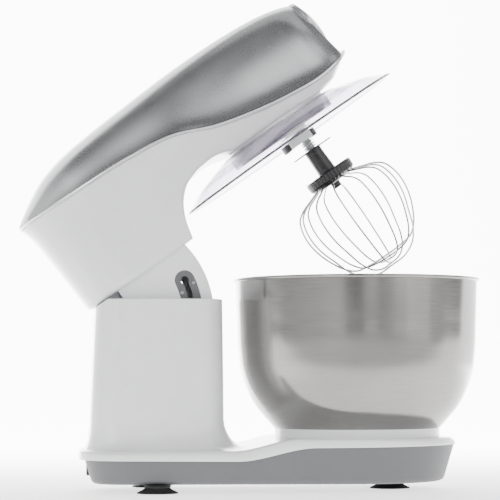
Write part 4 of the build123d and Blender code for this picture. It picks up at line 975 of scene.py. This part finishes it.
class MIXER_OT_studio(bpy.types.Operator):
    """Backdrop that curves up behind the mixer, soft lights, and the camera"""
    bl_idname = "mixer.studio"
    bl_label = "Studio"

    def execute(self, context):
        studio = context.scene.mixer_studio
        world = bpy.data.worlds.new("surround")
        context.scene.world = world
        world.use_nodes = True
        tree = world.node_tree
        tree.nodes.clear()
        facing = put(tree, "ShaderNodeTexCoord", {})
        parts = put(tree, "ShaderNodeSeparateXYZ", {0: facing.outputs["Generated"]})
        behind = put(tree, "ShaderNodeMath", {0: parts.outputs["Y"], 1: -1.0}, operation="MULTIPLY")
        turn = put(tree, "ShaderNodeMath", {0: parts.outputs["X"], 1: behind.outputs[0]}, operation="ARCTAN2")
        around = ramp(tree, turn.outputs[0], -math.pi, math.pi, SOFTBOX_TURN, 180.0)
        tall = ramp(tree, parts.outputs["Z"], -1.0, 1.0, SOFTBOX_RISE, 1.0)
        panel = put(tree, "ShaderNodeMath", {0: around, 1: tall}, operation="MULTIPLY")
        glow = put(tree, "ShaderNodeBackground", {"Color": (1, 1, 1, 1)})
        power = put(tree, "ShaderNodeMath", {0: panel.outputs[0], 1: studio.sky}, operation="MULTIPLY")
        tree.links.new(power.outputs[0], glow.inputs["Strength"])
        put(tree, "ShaderNodeOutputWorld", {"Surface": glow.outputs[0]})

        bend_y, bend_r = 1200, 1500  # where the sheet starts to curve up, and its radius
        profile = np.vstack((
            [(-6000, 0), (bend_y, 0)], arc((bend_y, bend_r), bend_r, -90, 0, 40)[1:],
            [(bend_y + bend_r, 5000)],
        ))
        width = np.linspace(-5000, 5000, 3)
        sheet = space(width, profile[:, :1], profile[:, 1:])
        mesh = build_mesh("backdrop", [sheet])
        mesh.shade_smooth()
        paper = bpy.data.materials.new("Pale Seamless Paper")
        paper.use_nodes = True
        tree = paper.node_tree
        shader = tree.nodes["Principled BSDF"]
        shader.inputs["Base Color"].default_value = tuple(studio.paper)
        shader.inputs["Roughness"].default_value = 0.7
        shader.inputs["Emission Color"].default_value = (1, 1, 1, 1)
        place = put(tree, "ShaderNodeTexCoord", {})
        parts = put(tree, "ShaderNodeSeparateXYZ", {0: place.outputs["Object"]})
        far = put(tree, "ShaderNodeMapRange", {
            "Value": parts.outputs["Y"], "From Min": -0.1, "From Max": 1.1,
        }, interpolation_type="SMOOTHSTEP")
        low = put(tree, "ShaderNodeMapRange", {
            "Value": parts.outputs["Z"], "From Min": 1.0, "From Max": 1.9, "To Min": 1.0, "To Max": 0.02,
        }, interpolation_type="SMOOTHSTEP")
        close = put(tree, "ShaderNodeMapRange", {
            "Value": parts.outputs["Y"], "From Min": -0.6, "From Max": -0.15,
            "To Min": 0.0, "To Max": studio.floor,
        }, interpolation_type="SMOOTHSTEP")
        side = put(tree, "ShaderNodeMath", {0: parts.outputs["X"]}, operation="ABSOLUTE")
        near = put(tree, "ShaderNodeMapRange", {
            "Value": side.outputs[0], "From Min": 0.6, "From Max": 1.5, "To Min": 1.0, "To Max": 0.08,
        }, interpolation_type="SMOOTHSTEP")
        level = put(tree, "ShaderNodeMath", {0: far.outputs[0], 1: low.outputs[0]}, operation="MULTIPLY")
        lit = put(tree, "ShaderNodeMath", {0: level.outputs[0], 1: near.outputs[0]}, operation="MULTIPLY")
        strength = put(tree, "ShaderNodeMath", {
            0: lit.outputs[0], 1: studio.backdrop, 2: close.outputs[0],
        }, operation="MULTIPLY_ADD")
        tree.links.new(strength.outputs[0], shader.inputs["Emission Strength"])
        mesh.materials.append(paper)
        backdrop = bpy.data.objects.new("backdrop", mesh)
        context.scene.collection.objects.link(backdrop)

        target = Vector((0.0, 0.0, 0.22))
        for name, place, width, height, power in (
            ("key", (-0.9, -2.0, 0.8), 0.9, 0.9, studio.key),
            ("fill", (1.6, -1.2, 0.7), 0.9, 1.6, studio.fill),
            ("top", (0.1, 0.1, 1.9), 1.6, 0.9, studio.top),
        ):
            lamp = bpy.data.lights.new(name, "AREA")
            lamp.shape, lamp.size, lamp.size_y, lamp.energy = "RECTANGLE", width, height, power
            holder = bpy.data.objects.new(name, lamp)
            holder.location = place
            holder.rotation_euler = (target - Vector(place)).to_track_quat("-Z", "Y").to_euler()
            context.scene.collection.objects.link(holder)

        camera_place = (-0.1856, -2.0366, 0.1108)
        yaw, pitch, roll = math.radians(5.2), math.radians(3.22), math.radians(-0.2)
        ahead = Vector((math.sin(yaw) * math.cos(pitch), math.cos(yaw) * math.cos(pitch), math.sin(pitch)))
        right = Vector((math.cos(yaw), -math.sin(yaw), 0))
        up = right.cross(ahead)
        cos, sin = math.cos(roll), math.sin(roll)
        right, up = cos * right + sin * up, cos * up - sin * right
        camera = bpy.data.cameras.new("camera")
        camera.lens, camera.sensor_width = studio.lens, 36.0
        holder = bpy.data.objects.new("camera", camera)
        turned = Matrix((right, up, -ahead)).transposed().to_4x4()
        holder.matrix_world = Matrix.Translation(camera_place) @ turned
        context.scene.collection.objects.link(holder)
        context.scene.camera = holder
        return {"FINISHED"}


class MIXER_PT_panel(bpy.types.Panel):
    """Lists the sizes, the lights and one button for each piece"""
    bl_label = "Stand Mixer"
    bl_idname = "MIXER_PT_panel"
    bl_space_type = "VIEW_3D"
    bl_region_type = "UI"
    bl_category = "Mixer"

    def draw(self, context):
        for group in (context.scene.mixer_shape, context.scene.mixer_studio):
            for name in group.__annotations__:
                self.layout.prop(group, name)
        for step in STEPS:
            self.layout.operator(step.bl_idname)


STEPS = (
    MIXER_OT_base_housing, MIXER_OT_base_tub, MIXER_OT_gland, MIXER_OT_feet, MIXER_OT_bowl,
    MIXER_OT_lower_housing, MIXER_OT_cover, MIXER_OT_trim, MIXER_OT_nose, MIXER_OT_guard,
    MIXER_OT_whisk, MIXER_OT_springs, MIXER_OT_numerals, MIXER_OT_carried_parts, MIXER_OT_studio,
)
CLASSES = (MixerShape, MixerStudio) + STEPS + (MIXER_PT_panel,)


def register():
    for cls in CLASSES:
        bpy.utils.register_class(cls)
    bpy.types.Scene.mixer_shape = bpy.props.PointerProperty(type=MixerShape)
    bpy.types.Scene.mixer_studio = bpy.props.PointerProperty(type=MixerStudio)


def unregister():
    del bpy.types.Scene.mixer_studio
    del bpy.types.Scene.mixer_shape
    for cls in reversed(CLASSES):
        bpy.utils.unregister_class(cls)


def main():
    register()
    for step in STEPS:
        family, name = step.bl_idname.split(".")
        getattr(getattr(bpy.ops, family), name)()


if __name__ == "__main__":
    main()
